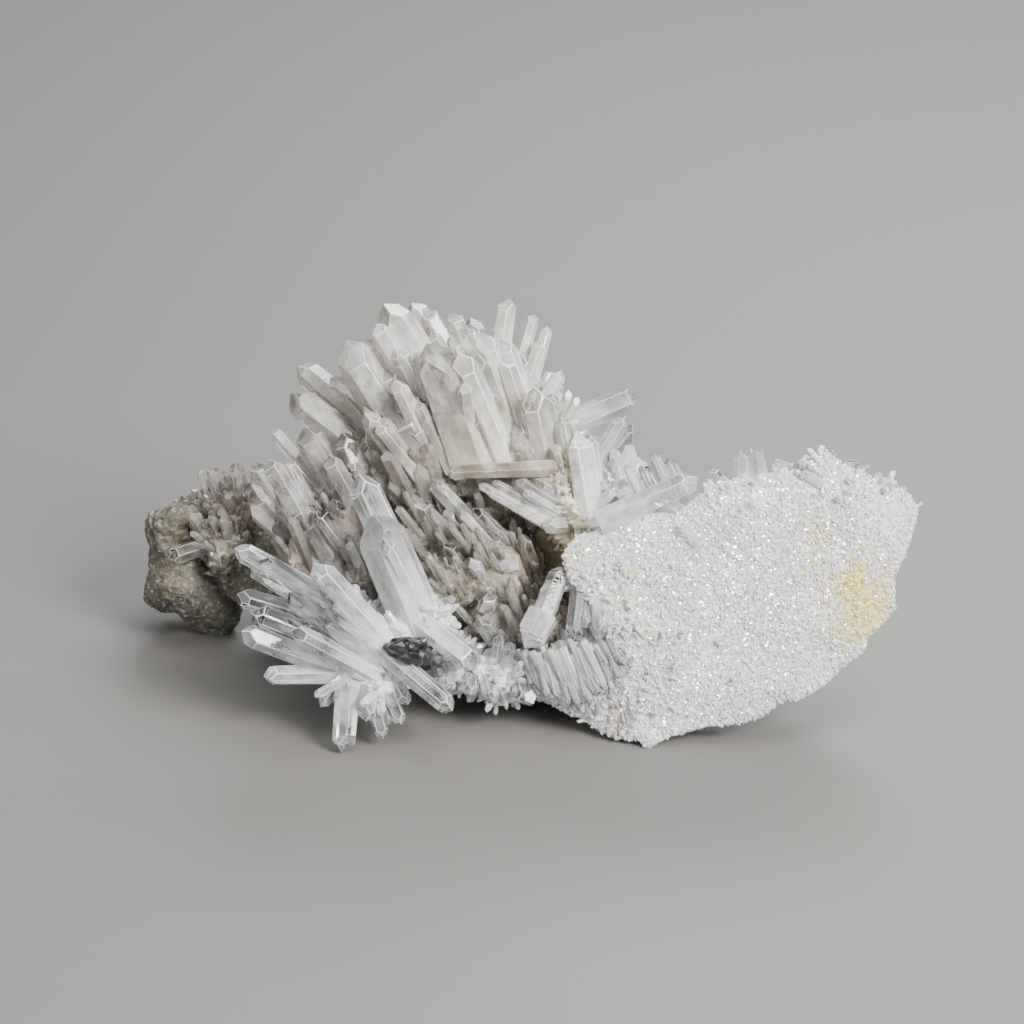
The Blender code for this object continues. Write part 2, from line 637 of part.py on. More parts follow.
# In this order each piece is cut clear of the ones before it that it meets
PIECES = [
    (rock_matrix, (0.20, 0.19, 0.14), 0.9, 0.0, []),
    (quartz_slab, (0.80, 0.81, 0.82), 0.6, 0.0, [rock_matrix]),
    (dark_grain, (0.01, 0.01, 0.012), 0.15, 0.0, []),
    (front_spray_crystals, (0.86, 0.87, 0.86), 0.05, 0.8, [dark_grain, rock_matrix]),
    (striped_crystals, (0.80, 0.79, 0.76), 0.15, 0.6, [front_spray_crystals, dark_grain, rock_matrix]),
    (left_fan_crystals, (0.62, 0.57, 0.50), 0.15, 0.6, [front_spray_crystals, striped_crystals, rock_matrix]),
    (right_blade_crystals, (0.78, 0.77, 0.70), 0.2, 0.5, [quartz_slab, rock_matrix]),
    (top_fan_crystals, (0.78, 0.76, 0.72), 0.15, 0.5,
     [left_fan_crystals, striped_crystals, right_blade_crystals, rock_matrix]),
    (lone_right_crystal, (0.75, 0.76, 0.76), 0.1, 0.7, [top_fan_crystals, rock_matrix]),
    (gully_crystals, (0.55, 0.50, 0.42), 0.2, 0.5,
     [top_fan_crystals, right_blade_crystals, striped_crystals, front_spray_crystals, quartz_slab,
      rock_matrix]),
    (slab_large_crystal, (0.82, 0.83, 0.84), 0.1, 0.7, [quartz_slab, right_blade_crystals]),
    (lower_edge_crystals, (0.74, 0.74, 0.71), 0.2, 0.5,
     [quartz_slab, front_spray_crystals, gully_crystals, rock_matrix]),
    (rear_crystals, (0.60, 0.60, 0.58), 0.2, 0.5,
     [top_fan_crystals, lone_right_crystal, left_fan_crystals, right_blade_crystals, quartz_slab,
      gully_crystals, rock_matrix]),
    (knob_crystals, (0.50, 0.47, 0.40), 0.25, 0.4, [left_fan_crystals, rear_crystals, rock_matrix]),
    (slab_rear_crystals, (0.66, 0.66, 0.65), 0.2, 0.5, [quartz_slab, rear_crystals, rock_matrix]),
]


def main():
    for obj in list(bpy.data.objects):
        bpy.data.objects.remove(obj)
    for piece, colour, roughness, clear, near in PIECES:
        name = piece.__name__
        shells = piece()
        obj = joined(shells[:1], name)
        if shells[1:]:
            settle(obj, joined(shells[1:], "rest"), "UNION")
        if near:
            cutters = [shell for other in near for shell in other(GAP)]
            settle(obj, joined(cutters, "cutter"), "DIFFERENCE")
        finish(obj)
        obj.data.materials.clear()
        obj.data.materials.append(material(name, colour, roughness, clear))


main()
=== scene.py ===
"""The finish of a quartz cluster: rough rock, a plate of sugary quartz, and clear to milky crystals."""

import math
import random

import bmesh
import bpy
import numpy
from mathutils import Matrix, Vector, noise


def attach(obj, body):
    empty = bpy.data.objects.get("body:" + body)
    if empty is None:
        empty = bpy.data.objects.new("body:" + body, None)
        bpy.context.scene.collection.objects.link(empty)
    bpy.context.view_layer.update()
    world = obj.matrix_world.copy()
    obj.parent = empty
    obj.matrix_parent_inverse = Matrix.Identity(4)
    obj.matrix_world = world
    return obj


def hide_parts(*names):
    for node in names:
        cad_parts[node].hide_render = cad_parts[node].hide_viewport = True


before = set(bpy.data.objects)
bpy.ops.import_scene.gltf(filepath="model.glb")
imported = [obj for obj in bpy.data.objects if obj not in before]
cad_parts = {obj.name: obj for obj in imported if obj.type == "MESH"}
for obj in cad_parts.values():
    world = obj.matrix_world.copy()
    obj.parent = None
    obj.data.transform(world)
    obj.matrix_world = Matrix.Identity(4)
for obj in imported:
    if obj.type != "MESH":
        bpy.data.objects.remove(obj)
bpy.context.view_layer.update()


# The rough rock. Grey-green wall rock, granular and dull, darkened as painted shade, with ochre stains and with brown
# in sheltered places that is partly stain and partly painted shade.
# It broke off the vein wall with the cluster, and all the crystals stand on it.

MM = 0.001
SHEET_LEAN = math.radians(22.0)
EYE_DISTANCE = 450.0
EYE_ACROSS = -3.0
EYE_UP = 40.0
FOOTPRINT_MIDDLE = (-2.41, 32.28)
TO_FRAME = Matrix.Translation((-FOOTPRINT_MIDDLE[0] * MM, -FOOTPRINT_MIDDLE[1] * MM, 0)) @ Matrix.Scale(MM, 4)
ROCK_CELL = 0.6
ROCK_GRAIN = 1.3
ROCK_RELIEF = 0.5
ROCK_LOW = 0.4


def on_sheet(across, up):
    """The point of a sheet that leans back under the crystals, in millimetres."""
    return Vector((across, up * math.sin(SHEET_LEAN), up * math.cos(SHEET_LEAN)))


EYE = on_sheet(EYE_ACROSS, EYE_UP) + EYE_DISTANCE * Vector((0, -math.cos(SHEET_LEAN), math.sin(SHEET_LEAN)))


def spot(across, up, out):
    """A point that stands out of the sheet towards the eye."""
    return on_sheet(across, up).lerp(EYE, out / EYE_DISTANCE)


def seen_at(point):
    """Where the eye sees a point against the sheet: across and up."""
    facing = Vector((0, -math.cos(SHEET_LEAN), math.sin(SHEET_LEAN)))
    place = EYE + (point - EYE) * (EYE.dot(facing) / (EYE - point).dot(facing))
    return place.x, place.y * math.sin(SHEET_LEAN) + place.z * math.cos(SHEET_LEAN)


def shave(bm, point, normal):
    """Cuts away what lies beyond a plane and closes the cut with one flat face."""
    geometry = bm.verts[:] + bm.edges[:] + bm.faces[:]
    cut = bmesh.ops.bisect_plane(bm, geom=geometry, plane_co=point, plane_no=normal, clear_outer=True)
    rim = [item for item in cut["geom_cut"] if isinstance(item, bmesh.types.BMEdge)]
    if rim:
        bmesh.ops.edgeloop_fill(bm, edges=rim)


def applied(bm, kind, **settings):
    """The shape after one modifier, as a new bmesh."""
    mesh = bpy.data.meshes.new("rough")
    bm.to_mesh(mesh)
    bm.free()
    holder = bpy.data.objects.new("rough", mesh)
    bpy.context.collection.objects.link(holder)
    modifier = holder.modifiers.new(kind, kind)
    for key, value in settings.items():
        setattr(modifier, key, value)
    graph = bpy.context.evaluated_depsgraph_get()
    made = bmesh.new()
    made.from_mesh(holder.evaluated_get(graph).to_mesh())
    bpy.data.objects.remove(holder)
    bpy.data.meshes.remove(mesh)
    return made


def roughened(bm, grain, relief, low=-1.0):
    """Pushes the surface in and out in tilted facets, one to each grain, above a low level."""
    bm.normal_update()
    for vert in bm.verts:
        place = vert.co / grain
        cell = noise.voronoi(place)[1][0]
        tilt = noise.cell_vector(cell * 7.3)
        push = tilt.dot(place - cell) + 0.6 * noise.noise(place * 0.4)
        if vert.co.z > low:
            vert.co += vert.normal * relief * push
            vert.co.z = max(vert.co.z, low / 2)
    return bm


def shown(bm, name, node, finish, smooth=False):
    """Puts a finished shape in the scene as a piece that stands for a node, cut off at the table."""
    if min(vert.co.z for vert in bm.verts) < 0:
        shave(bm, (0, 0, 0), (0, 0, -1))
    bmesh.ops.transform(bm, matrix=TO_FRAME, verts=bm.verts[:])
    mesh = bpy.data.meshes.new(name)
    bm.to_mesh(mesh)
    bm.free()
    return placed(mesh, name, node, finish, smooth)


def placed(mesh, name, node, finish, smooth=False):
    mesh.materials.clear()
    mesh.materials.append(finish)
    mesh.polygons.foreach_set("use_smooth", [smooth] * len(mesh.polygons))
    piece = bpy.data.objects.new(name, mesh)
    bpy.context.collection.objects.link(piece)
    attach(piece, "root")
    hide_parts(node)
    return piece


def blank(name, ior=1.55):
    """A new material, its node tree and its shader."""
    made = bpy.data.materials.new(name)
    made.use_nodes = True
    shader = made.node_tree.nodes["Principled BSDF"]
    shader.inputs["IOR"].default_value = ior
    return made, made.node_tree, shader


def add(tree, kind, sockets, **settings):
    """Adds a node, then sets or links its sockets."""
    made = tree.nodes.new("ShaderNode" + kind)
    for key, value in settings.items():
        setattr(made, key, value)
    for key, value in sockets.items():
        if isinstance(value, bpy.types.NodeSocket):
            tree.links.new(value, made.inputs[key])
        else:
            made.inputs[key].default_value = value
    return made


def ranged(tree, value, low, high, to_low=0.0, to_high=1.0):
    sockets = {"Value": value, "From Min": low, "From Max": high, "To Min": to_low, "To Max": to_high}
    return add(tree, "MapRange", sockets).outputs[0]


def maths(tree, operation, first, second):
    return add(tree, "Math", {0: first, 1: second}, operation=operation).outputs[0]


def blended(tree, share, first, second):
    """A colour between two colours; a plain colour is three numbers."""
    first, second = (c if isinstance(c, bpy.types.NodeSocket) else (*c, 1) for c in (first, second))
    sockets = {0: share, 6: first, 7: second}
    return add(tree, "Mix", sockets, data_type="RGBA").outputs[2]


def mottle(tree, size, detail=3.0, roughness=0.6, place=None):
    """Noise with features of a size in millimetres."""
    place = place or add(tree, "TexCoord", {}).outputs["Object"]
    sockets = {"Vector": place, "Scale": 1 / (size * MM), "Detail": detail, "Roughness": roughness}
    return add(tree, "TexNoise", sockets).outputs[0]


def with_stains_and_shade(tree, colour, stains_and_shade):
    """Lays patches with ragged rims over a colour, stains and some painted shade: middle, radius, tint and strength of
    each.
    """
    if not stains_and_shade:
        return colour
    place = add(tree, "TexCoord", {}).outputs["Object"]
    ragged = ranged(tree, mottle(tree, 1.8, 2.0), 0.3, 0.7, 0.45, 1.55)
    for middle, radius, tint, strength in stains_and_shade:
        away = add(tree, "VectorMath", {0: place, 1: TO_FRAME @ middle}, operation="DISTANCE").outputs["Value"]
        # The ragged distance from a patch's middle, for stains and painted shade alike.
        worn = maths(tree, "MULTIPLY", away, ragged)
        share = ranged(tree, worn, radius * MM, 0.2 * radius * MM, 0.0, strength)
        colour = blended(tree, share, colour, tint)
    return colour


# Brown for patches in hollows and between crystal feet: partly stain, partly painted shade.
BROWN_STAIN_AND_SHADE = (0.29, 0.225, 0.135)
# Dark brown painted shade for the knob's cavity.
CAVITY_SHADE_BROWN = (0.12, 0.085, 0.055)
OCHRE = (0.62, 0.42, 0.18)
OLIVE = (0.27, 0.25, 0.15)
GREY_BROWN = (0.45, 0.38, 0.30)
YELLOW = (0.88, 0.72, 0.22)


def rock_finish():
    made, tree, shader = blank("rough grey-green rock")
    # Its grey-green tones and pale specks are darkened all over as painted shade; the ochre mottle is its own.
    colour = blended(tree, ranged(tree, mottle(tree, 5.0), 0.35, 0.65), (0.085, 0.085, 0.062), (0.18, 0.175, 0.14))
    pale = ranged(tree, mottle(tree, 0.9, 2.0), 0.55, 0.68)
    colour = blended(tree, pale, colour, (0.36, 0.36, 0.32))
    ochre = ranged(tree, mottle(tree, 2.6, 3.0), 0.66, 0.76)
    colour = blended(tree, ochre, colour, OCHRE)
    # The brown patches on the knob, beside the left fan and in the gully are partly stain, partly painted shade.
    colour = with_stains_and_shade(tree, colour, [
        (spot(-61, 30, -30), 6, BROWN_STAIN_AND_SHADE, 0.6),
        # The darkest, in the knob's cavity, is painted shade.
        (spot(-56.5, 37.5, -31), 7, CAVITY_SHADE_BROWN, 0.9),
        (spot(-46, 37, -36), 9, BROWN_STAIN_AND_SHADE, 0.8),
        (spot(-1, 31, -12), 16, BROWN_STAIN_AND_SHADE, 0.8),
    ])
    tree.links.new(colour, shader.inputs["Base Color"])
    tree.links.new(ranged(tree, mottle(tree, 0.6), 0.3, 0.7, 0.55, 0.95), shader.inputs["Roughness"])
    bump = add(tree, "Bump", {"Height": mottle(tree, 1.0, 3.0, 0.7), "Strength": 0.7, "Distance": 0.4 * MM})
    tree.links.new(bump.outputs[0], shader.inputs["Normal"])
    return made


rock = bmesh.new()
rock.from_mesh(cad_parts["rock_matrix"].data)
bmesh.ops.transform(rock, matrix=TO_FRAME.inverted(), verts=rock.verts[:])
bmesh.ops.remove_doubles(rock, verts=rock.verts[:], dist=0.001)
rock = applied(rock, "REMESH", mode="VOXEL", voxel_size=ROCK_CELL)
rock = roughened(rock, ROCK_GRAIN, ROCK_RELIEF, ROCK_LOW)
shown(rock, "rough_rock", "rock_matrix", rock_finish())


# The plate of sugary quartz. White grown-together grains, broken across at the front, with a yellow stain.
# It stands on its broken lower edge and leans on the rock.

SLAB_OUTLINE = [
    (5.2, 33), (7.5, 36.2), (10.2, 36.7), (16, 39.2), (25.4, 40.6), (28.8, 44), (33.7, 45.5), (39, 46),
    (42.5, 46.5), (46.9, 49), (49.4, 50.2), (52.3, 48), (57.7, 45.6), (60.6, 44.6), (63.5, 43), (64.9, 40.7),
    (64, 36.8), (62.5, 32.3), (61, 29.9), (60.8, 23.5), (58.6, 21), (56.4, 19.2), (55.7, 16.7), (51.3, 13.3),
    (48.9, 10.8), (44.5, 8.4), (42, 8.4), (38.6, 5.5), (33.7, 4.5), (29.3, 4), (23, 2.3), (19.5, 0.3),
    (18, 1.6), (16.6, 6.4), (17.1, 12.3), (13.2, 18.2), (11, 22), (9.5, 26), (6.2, 28.5),
]
SLAB_THICKNESS = 9.0
DRUSE_OUTLINE = [
    (-4.5, 9), (-3.5, 13), (0, 16), (4, 17), (8.1, 17.5), (14, 19), (19, 14), (19, 3), (17, 1.8),
    (12.3, 3), (9, 5.3), (5.5, 6.8), (2, 8.7),
]
DRUSE_THICKNESS = 7.0
DRUSE_SLOPE = 0.4
DRUSE_EDGE = 16.0
SLAB_FALL = 0.004
SLAB_FALL_START = 45.0
PLATE_CELL = 11.0
PLATE_WAVE = 1.6
PLATE_WAVE_SIZE = 9.0
PLATE_EDGE_WEAR = 1.2
PLATE_BACK_INSET = 0.08
PLATE_BACK_WAVE = 0.35
PLATE_MESH = 0.5
SUGAR_SIZE = 0.8
SUGAR_RELIEF = 0.11
GRAIN_SIZES = (0.11, 0.32)
SPARKLE_SIZE = 0.42
FACET_TILT = 1.0
MIRROR_SHARE = 0.3
FRONT_GRAINS = 9500
OTHER_GRAINS = 5000


def slab_front(across):
    """The broken face falls back a little towards its right edge."""
    return -SLAB_FALL * max(0.0, across - SLAB_FALL_START) ** 2


def druse_front(across):
    """The side of parallel crystals slopes back to the left of the slab."""
    return -DRUSE_SLOPE * max(0.0, DRUSE_EDGE - across)


def plate(outline, front, thickness):
    """A broken plate: the outline cut in cells, then drawn back and roughened."""
    bm = bmesh.new()
    bm.faces.new([bm.verts.new((across, up, 0)) for across, up in outline])
    for axis in (0, 1):
        low = min(point[axis] for point in outline)
        high = max(point[axis] for point in outline)
        cells = math.ceil((high - low) / PLATE_CELL)
        normal = Vector((axis == 0, axis == 1, 0))
        for i in range(1, cells):
            geometry = bm.verts[:] + bm.edges[:] + bm.faces[:]
            place = normal * (low + (high - low) * i / cells)
            bmesh.ops.bisect_plane(bm, geom=geometry, plane_co=place, plane_no=normal)
    bmesh.ops.triangulate(bm, faces=bm.faces[:])
    rim = {vert for vert in bm.verts if vert.is_boundary}
    drawn = bmesh.ops.extrude_face_region(bm, geom=bm.faces[:])
    back = {item for item in drawn["geom"] if isinstance(item, bmesh.types.BMVert)}
    middle = sum((Vector(point + (0,)) for point in outline), Vector()) / len(outline)
    for vert in bm.verts:
        across, up, _ = vert.co
        wave = noise.noise(Vector((across, up, 0)) / PLATE_WAVE_SIZE)
        if vert in back:
            inset = vert.co.lerp(middle, PLATE_BACK_INSET)
            vert.co = spot(inset.x, inset.y, front(across) - thickness * (1 + PLATE_BACK_WAVE * wave))
        else:
            worn = PLATE_EDGE_WEAR if vert in rim else 0
            vert.co = spot(across, up, front(across) + PLATE_WAVE * wave - worn)
    bmesh.ops.recalc_face_normals(bm, faces=bm.faces[:])
    return bm


def template(bm):
    """The corners, faces and two UV maps of a small shape, for scattering."""
    layers = [bm.loops.layers.uv.get(name) for name in ("growth", "grain")]
    corners = numpy.array([vert.co for vert in bm.verts])
    loops = [loop for face in bm.faces for loop in face.loops]
    index = numpy.array([loop.vert.index for loop in loops])
    sizes = numpy.array([len(face.verts) for face in bm.faces])
    maps = [numpy.array([loop[layer].uv for loop in loops]) for layer in layers]
    bm.free()
    return corners, index, sizes, maps


def scattered(name, templates, places):
    """One mesh of many placed copies, all above the table. Each place: a template's number, a matrix, a chance."""
    corners, index, sizes, growth, grain = [], [], [], [], []
    total = 0
    for number, matrix, chance in places:
        shape, loops, faces, maps = templates[number]
        turned = numpy.array(TO_FRAME @ matrix)
        copy = shape @ turned[:3, :3].T + turned[:3, 3]
        if copy[:, 2].min() < 0:
            continue
        corners.append(copy)
        index.append(loops + total)
        sizes.append(faces)
        growth.append(maps[0] * (1, 0) + (0, chance))
        grain.append(maps[1])
        total += len(shape)
    corners, index, sizes = (numpy.concatenate(part) for part in (corners, index, sizes))
    mesh = bpy.data.meshes.new(name)
    mesh.vertices.add(len(corners))
    mesh.vertices.foreach_set("co", corners.ravel())
    mesh.loops.add(len(index))
    mesh.loops.foreach_set("vertex_index", index)
    mesh.polygons.add(len(sizes))
    mesh.polygons.foreach_set("loop_start", numpy.cumsum(sizes) - sizes)
    mesh.update(calc_edges=True)
    for uv_name, uvs in (("growth", growth), ("grain", grain)):
        mesh.uv_layers.new(name=uv_name).data.foreach_set("uv", numpy.concatenate(uvs).ravel())
    mesh.validate()
    return mesh


def surface_points(bm, count, rng, wanted=None):
    """Seeded points spread evenly over a shape, each with its outward direction."""
    faces = [face for face in bm.faces if wanted is None or wanted(face)]
    areas = [face.calc_area() for face in faces]
    points = []
    for face in rng.choices(faces, weights=areas, k=count):
        corners = [vert.co for vert in face.verts]
        place = Vector()
        shares = [rng.random() for _ in corners]
        for corner, share in zip(corners, shares):
            place += corner * share / sum(shares)
        points.append((place, face.normal.copy()))
    return points


def sugar_grain(rng):
    """A broken grain: a block with its corners cut off at random."""
    bm = bmesh.new()
    bmesh.ops.create_cube(bm, size=2.0, matrix=Matrix.Diagonal((1.0, 0.85, 0.8, 1)))
    for _ in range(2):
        normal = Vector((rng.uniform(-1, 1), rng.uniform(-1, 1), rng.uniform(-1, 1))).normalized()
        shave(bm, normal * rng.uniform(0.6, 0.9), normal)
    bmesh.ops.recalc_face_normals(bm, faces=bm.faces[:])
    for layer_name in ("growth", "grain"):
        bm.loops.layers.uv.new(layer_name)
    bm.verts.index_update()
    return template(bm)


def turned_to(normal, tilt, rng):
    """A turn that points Z along a direction, give or take a tilt, with any spin."""
    aim = normal + Vector((rng.gauss(0, tilt), rng.gauss(0, tilt), rng.gauss(0, tilt)))
    facing = Vector((0, 0, 1)).rotation_difference(aim.normalized()).to_matrix().to_4x4()
    return facing @ Matrix.Rotation(rng.uniform(0, math.tau), 4, "Z")


SLAB_STAINS = [
    (spot(55.5, 25, 0), 9.0, YELLOW, 0.6),
    (spot(53.8, 28, 0), 5.0, YELLOW, 0.8),
    (spot(57.5, 24, 0), 5.0, YELLOW, 0.8),
    (spot(55.0, 20.5, 0), 4.0, YELLOW, 0.7),
    (spot(48, 36, 0), 4.5, YELLOW, 0.45),
    (spot(15.8, 25.2, 0), 2.5, YELLOW, 0.25),
    (spot(19.2, 19.4, 0), 2.6, YELLOW, 0.3),
    (spot(16.5, 30, 0), 1.4, YELLOW, 0.4),
    (spot(13.5, 4.8, -1), 3.2, OCHRE, 0.6),
    (spot(7, 33.5, 0), 3.2, YELLOW, 0.35),
    (spot(6.4, 30.8, -1), 2.5, OCHRE, 0.35),
    (spot(7, 38.2, -2), 2.5, OCHRE, 0.5),
    (spot(31, 18, 0.4), 0.9, (0.10, 0.13, 0.17), 0.85),
    (spot(33.2, 11.7, 0.4), 1.0, (0.13, 0.16, 0.20), 0.8),
    (spot(26.9, 32.1, 0.4), 0.6, (0.10, 0.10, 0.10), 0.8),
]


def sugar_finish(name, dark, light, transmission, roughness):
    """White grains among duller ones, the whitest partly painted glints, with tilted mirror facets that glint, over
    patches of cooler and warmer quartz.
    """
    made, tree, shader = blank(name)
    growth = add(tree, "SeparateXYZ", {0: add(tree, "UVMap", {}, uv_map="growth").outputs[0]})
    place = add(tree, "TexCoord", {}).outputs["Object"]
    cells = add(tree, "TexVoronoi", {"Vector": place, "Scale": 1 / (SPARKLE_SIZE * MM)})
    draws = add(tree, "SeparateColor", {0: cells.outputs["Color"]})
    # Each cell's tone: partly the grain's own, partly painted glints in the whitest cells.
    tone = maths(tree, "ADD", maths(tree, "MULTIPLY", growth.outputs[1], 0.4), maths(tree, "MULTIPLY", draws.outputs[1], 0.5))
    tone = maths(tree, "ADD", tone, ranged(tree, mottle(tree, 3.0, 2.0), 0.35, 0.65, -0.15, 0.15))
    colour = blended(tree, ranged(tree, tone, 0.15, 0.75), dark, light)
    cool = ranged(tree, mottle(tree, 15.0, 4.0), 0.42, 0.58, 0.0, 0.8)
    colour = add(tree, "Mix", {0: cool, 6: colour, 7: (0.90, 0.925, 0.955, 1)}, data_type="RGBA", blend_type="MULTIPLY")
    tree.links.new(with_stains_and_shade(tree, colour.outputs[2], SLAB_STAINS), shader.inputs["Base Color"])
    shader.inputs["Transmission Weight"].default_value = transmission
    mirrors = ranged(tree, draws.outputs[0], MIRROR_SHARE, 0.7 * MIRROR_SHARE)
    tree.links.new(maths(tree, "MULTIPLY", mirrors, 0.35), shader.inputs["Metallic"])
    tree.links.new(ranged(tree, mirrors, 0.0, 1.0, *roughness), shader.inputs["Roughness"])
    within = add(tree, "VectorMath", {0: place, 1: cells.outputs["Position"]}, operation="SUBTRACT").outputs[0]
    tilt = add(tree, "VectorMath", {0: cells.outputs["Color"], 1: (0.5, 0.5, 0.5)}, operation="SUBTRACT").outputs[0]
    facets = add(tree, "VectorMath", {0: within, 1: tilt}, operation="DOT_PRODUCT").outputs["Value"]
    bump = add(tree, "Bump", {"Height": facets, "Strength": FACET_TILT, "Distance": 1.0})
    tree.links.new(bump.outputs[0], shader.inputs["Normal"])
    return made


slab = plate(SLAB_OUTLINE, slab_front, SLAB_THICKNESS)
druse_side = plate(DRUSE_OUTLINE, druse_front, DRUSE_THICKNESS)
druse_mesh = bpy.data.meshes.new("druse side")
druse_side.to_mesh(druse_mesh)
druse_side.free()
slab.from_mesh(druse_mesh)
slab = applied(slab, "REMESH", mode="VOXEL", voxel_size=PLATE_MESH)
slab = roughened(slab, SUGAR_SIZE, SUGAR_RELIEF)
rng = random.Random("sugar")
sugar_templates = [sugar_grain(rng) for _ in range(8)]
# The loose grains are whiter than the body: partly their own white, partly painted glints.
sugar_glints = sugar_finish("quartz grains", (0.88, 0.88, 0.88), (1.0, 1.0, 1.0), 0.1, (0.3, 0.1))


def sugar(name, count, wanted):
    """Grains bedded in one part of the slab's surface."""
    places = []
    for place, normal in surface_points(slab, count, rng, wanted):
        size = rng.uniform(*GRAIN_SIZES) * rng.uniform(0.5, 1.0)
        stretch = Matrix.Diagonal((size, size, size * rng.uniform(0.9, 1.8), 1))
        places.append((rng.randrange(8), Matrix.Translation(place) @ turned_to(normal, 1.0, rng) @ stretch, rng.random()))
    grains = scattered(name, sugar_templates, places)
    placed(grains, name, "quartz_slab", sugar_glints)


def on_front(face):
    return face.normal.dot(EYE - face.calc_center_median()) > 0.35 * EYE_DISTANCE


sugary_quartz = sugar_finish("sugary quartz", (0.76, 0.76, 0.765), (1.0, 1.0, 1.0), 0.0, (0.5, 0.1))
sugar("slab_front_grains", FRONT_GRAINS, on_front)
sugar("slab_other_grains", OTHER_GRAINS, lambda face: not on_front(face))
shown(slab.copy(), "slab_body", "quartz_slab", sugary_quartz)


# The crystals along the slab's upper edge and in its left side. Glassy six-sided prisms with pointed ends.
# They grew out of the plate side by side, and their feet are milky.

TIP_NORMAL = math.radians(52.0)
SIDE_REACH = (0.8, 1.12)
LARGE_FACE_DROP = (0.1, 0.45)
SMALL_FACE_DROP = (-0.35, 0.15)
TIP_RAISE = 0.25
FULL_TIP_WIDTH = 4.3
TAPER = math.radians(1.2)
WORN_EDGE = 0.03
# Extra milkiness on the bevelled edges: partly wear, partly a painted highlight.
EDGE_WEAR_AND_HIGHLIGHT_HAZE = 0.06


def crystal(tip, foot, width, rng, chance, wear=WORN_EDGE):
    """A block cut by six sides and by the unequal faces of its tip, with its edges worn a little."""
    along = tip - foot
    half = width / 2
    sides = [half * rng.uniform(*SIDE_REACH) for _ in range(6)]
    drops = [half * rng.uniform(*(SMALL_FACE_DROP if i % 2 else LARGE_FACE_DROP)) for i in range(6)]
    start = rng.uniform(0, math.tau)
    height = along.length + half * TIP_RAISE
    bm = bmesh.new()
    block = Matrix.Translation((0, 0, height / 2)) @ Matrix.Diagonal((3 * width, 3 * width, 2 * height, 1))
    bmesh.ops.create_cube(bm, size=1.0, matrix=block)
    shave(bm, (0, 0, 0), (0, 0, -1))
    for i in range(6):
        turn = start + math.tau * i / 6
        side = Vector((math.cos(turn), math.sin(turn), math.tan(TAPER)))
        shave(bm, (sides[i] * side.x, sides[i] * side.y, height / 2), side)
        if i % 2 and width < FULL_TIP_WIDTH:
            continue
        face = Vector((side.x * math.sin(TIP_NORMAL), side.y * math.sin(TIP_NORMAL), math.cos(TIP_NORMAL)))
        shave(bm, (0, 0, height - drops[i]), face)
    worn = []
    if wear:
        worn = bmesh.ops.bevel(bm, geom=bm.edges[:], offset=wear * width, segments=1, profile=0.5, affect="EDGES",
                               clamp_overlap=True, material=-1)["faces"]
    mapped(bm, height, chance, set(worn))
    turned = Vector((0, 0, 1)).rotation_difference(along).to_matrix().to_4x4()
    bmesh.ops.transform(bm, matrix=Matrix.Translation(foot) @ turned, verts=bm.verts[:])
    return bm


def mapped(bm, height, chance, worn):
    """Writes how far up its crystal each corner is (-1 on worn edges), its crystal's chance, and its place on its face."""
    growth = bm.loops.layers.uv.new("growth")
    grain = bm.loops.layers.uv.new("grain")
    bmesh.ops.recalc_face_normals(bm, faces=bm.faces[:])
    bm.normal_update()
    for face in bm.faces:
        across = Vector((0, 0, 1)).cross(face.normal)
        for loop in face.loops:
            co = loop.vert.co
            loop[growth].uv = (-1 if face in worn else co.z / height, chance)
            loop[grain].uv = (co.dot(across) + 10 * chance, co.z + 37 * chance)


def joined(parts):
    """One solid of crystals that grew into each other."""
    meshes = []
    for bm in parts:
        mesh = bpy.data.meshes.new("crystal")
        bm.to_mesh(mesh)
        bm.free()
        meshes.append(mesh)
    holder = bmesh.new()
    holder.from_mesh(meshes[0])
    if not meshes[1:]:
        return holder
    rest = bmesh.new()
    for mesh in meshes[1:]:
        rest.from_mesh(mesh)
    rest_mesh = bpy.data.meshes.new("rest")
    rest.to_mesh(rest_mesh)
    rest.free()
    others = bpy.data.objects.new("rest", rest_mesh)
    bpy.context.collection.objects.link(others)
    made = applied(holder, "BOOLEAN", solver="EXACT", use_self=True, operation="UNION", object=others)
    bpy.data.objects.remove(others)
    return made


def crystals(rows, name):
    """The crystals of a list of tips, feet and widths."""
    rng = random.Random(name)
    chances = random.Random(name + " chance")
    return joined([crystal(spot(*row[:3]), spot(*row[3:6]), row[6], rng, chances.random()) for row in rows])


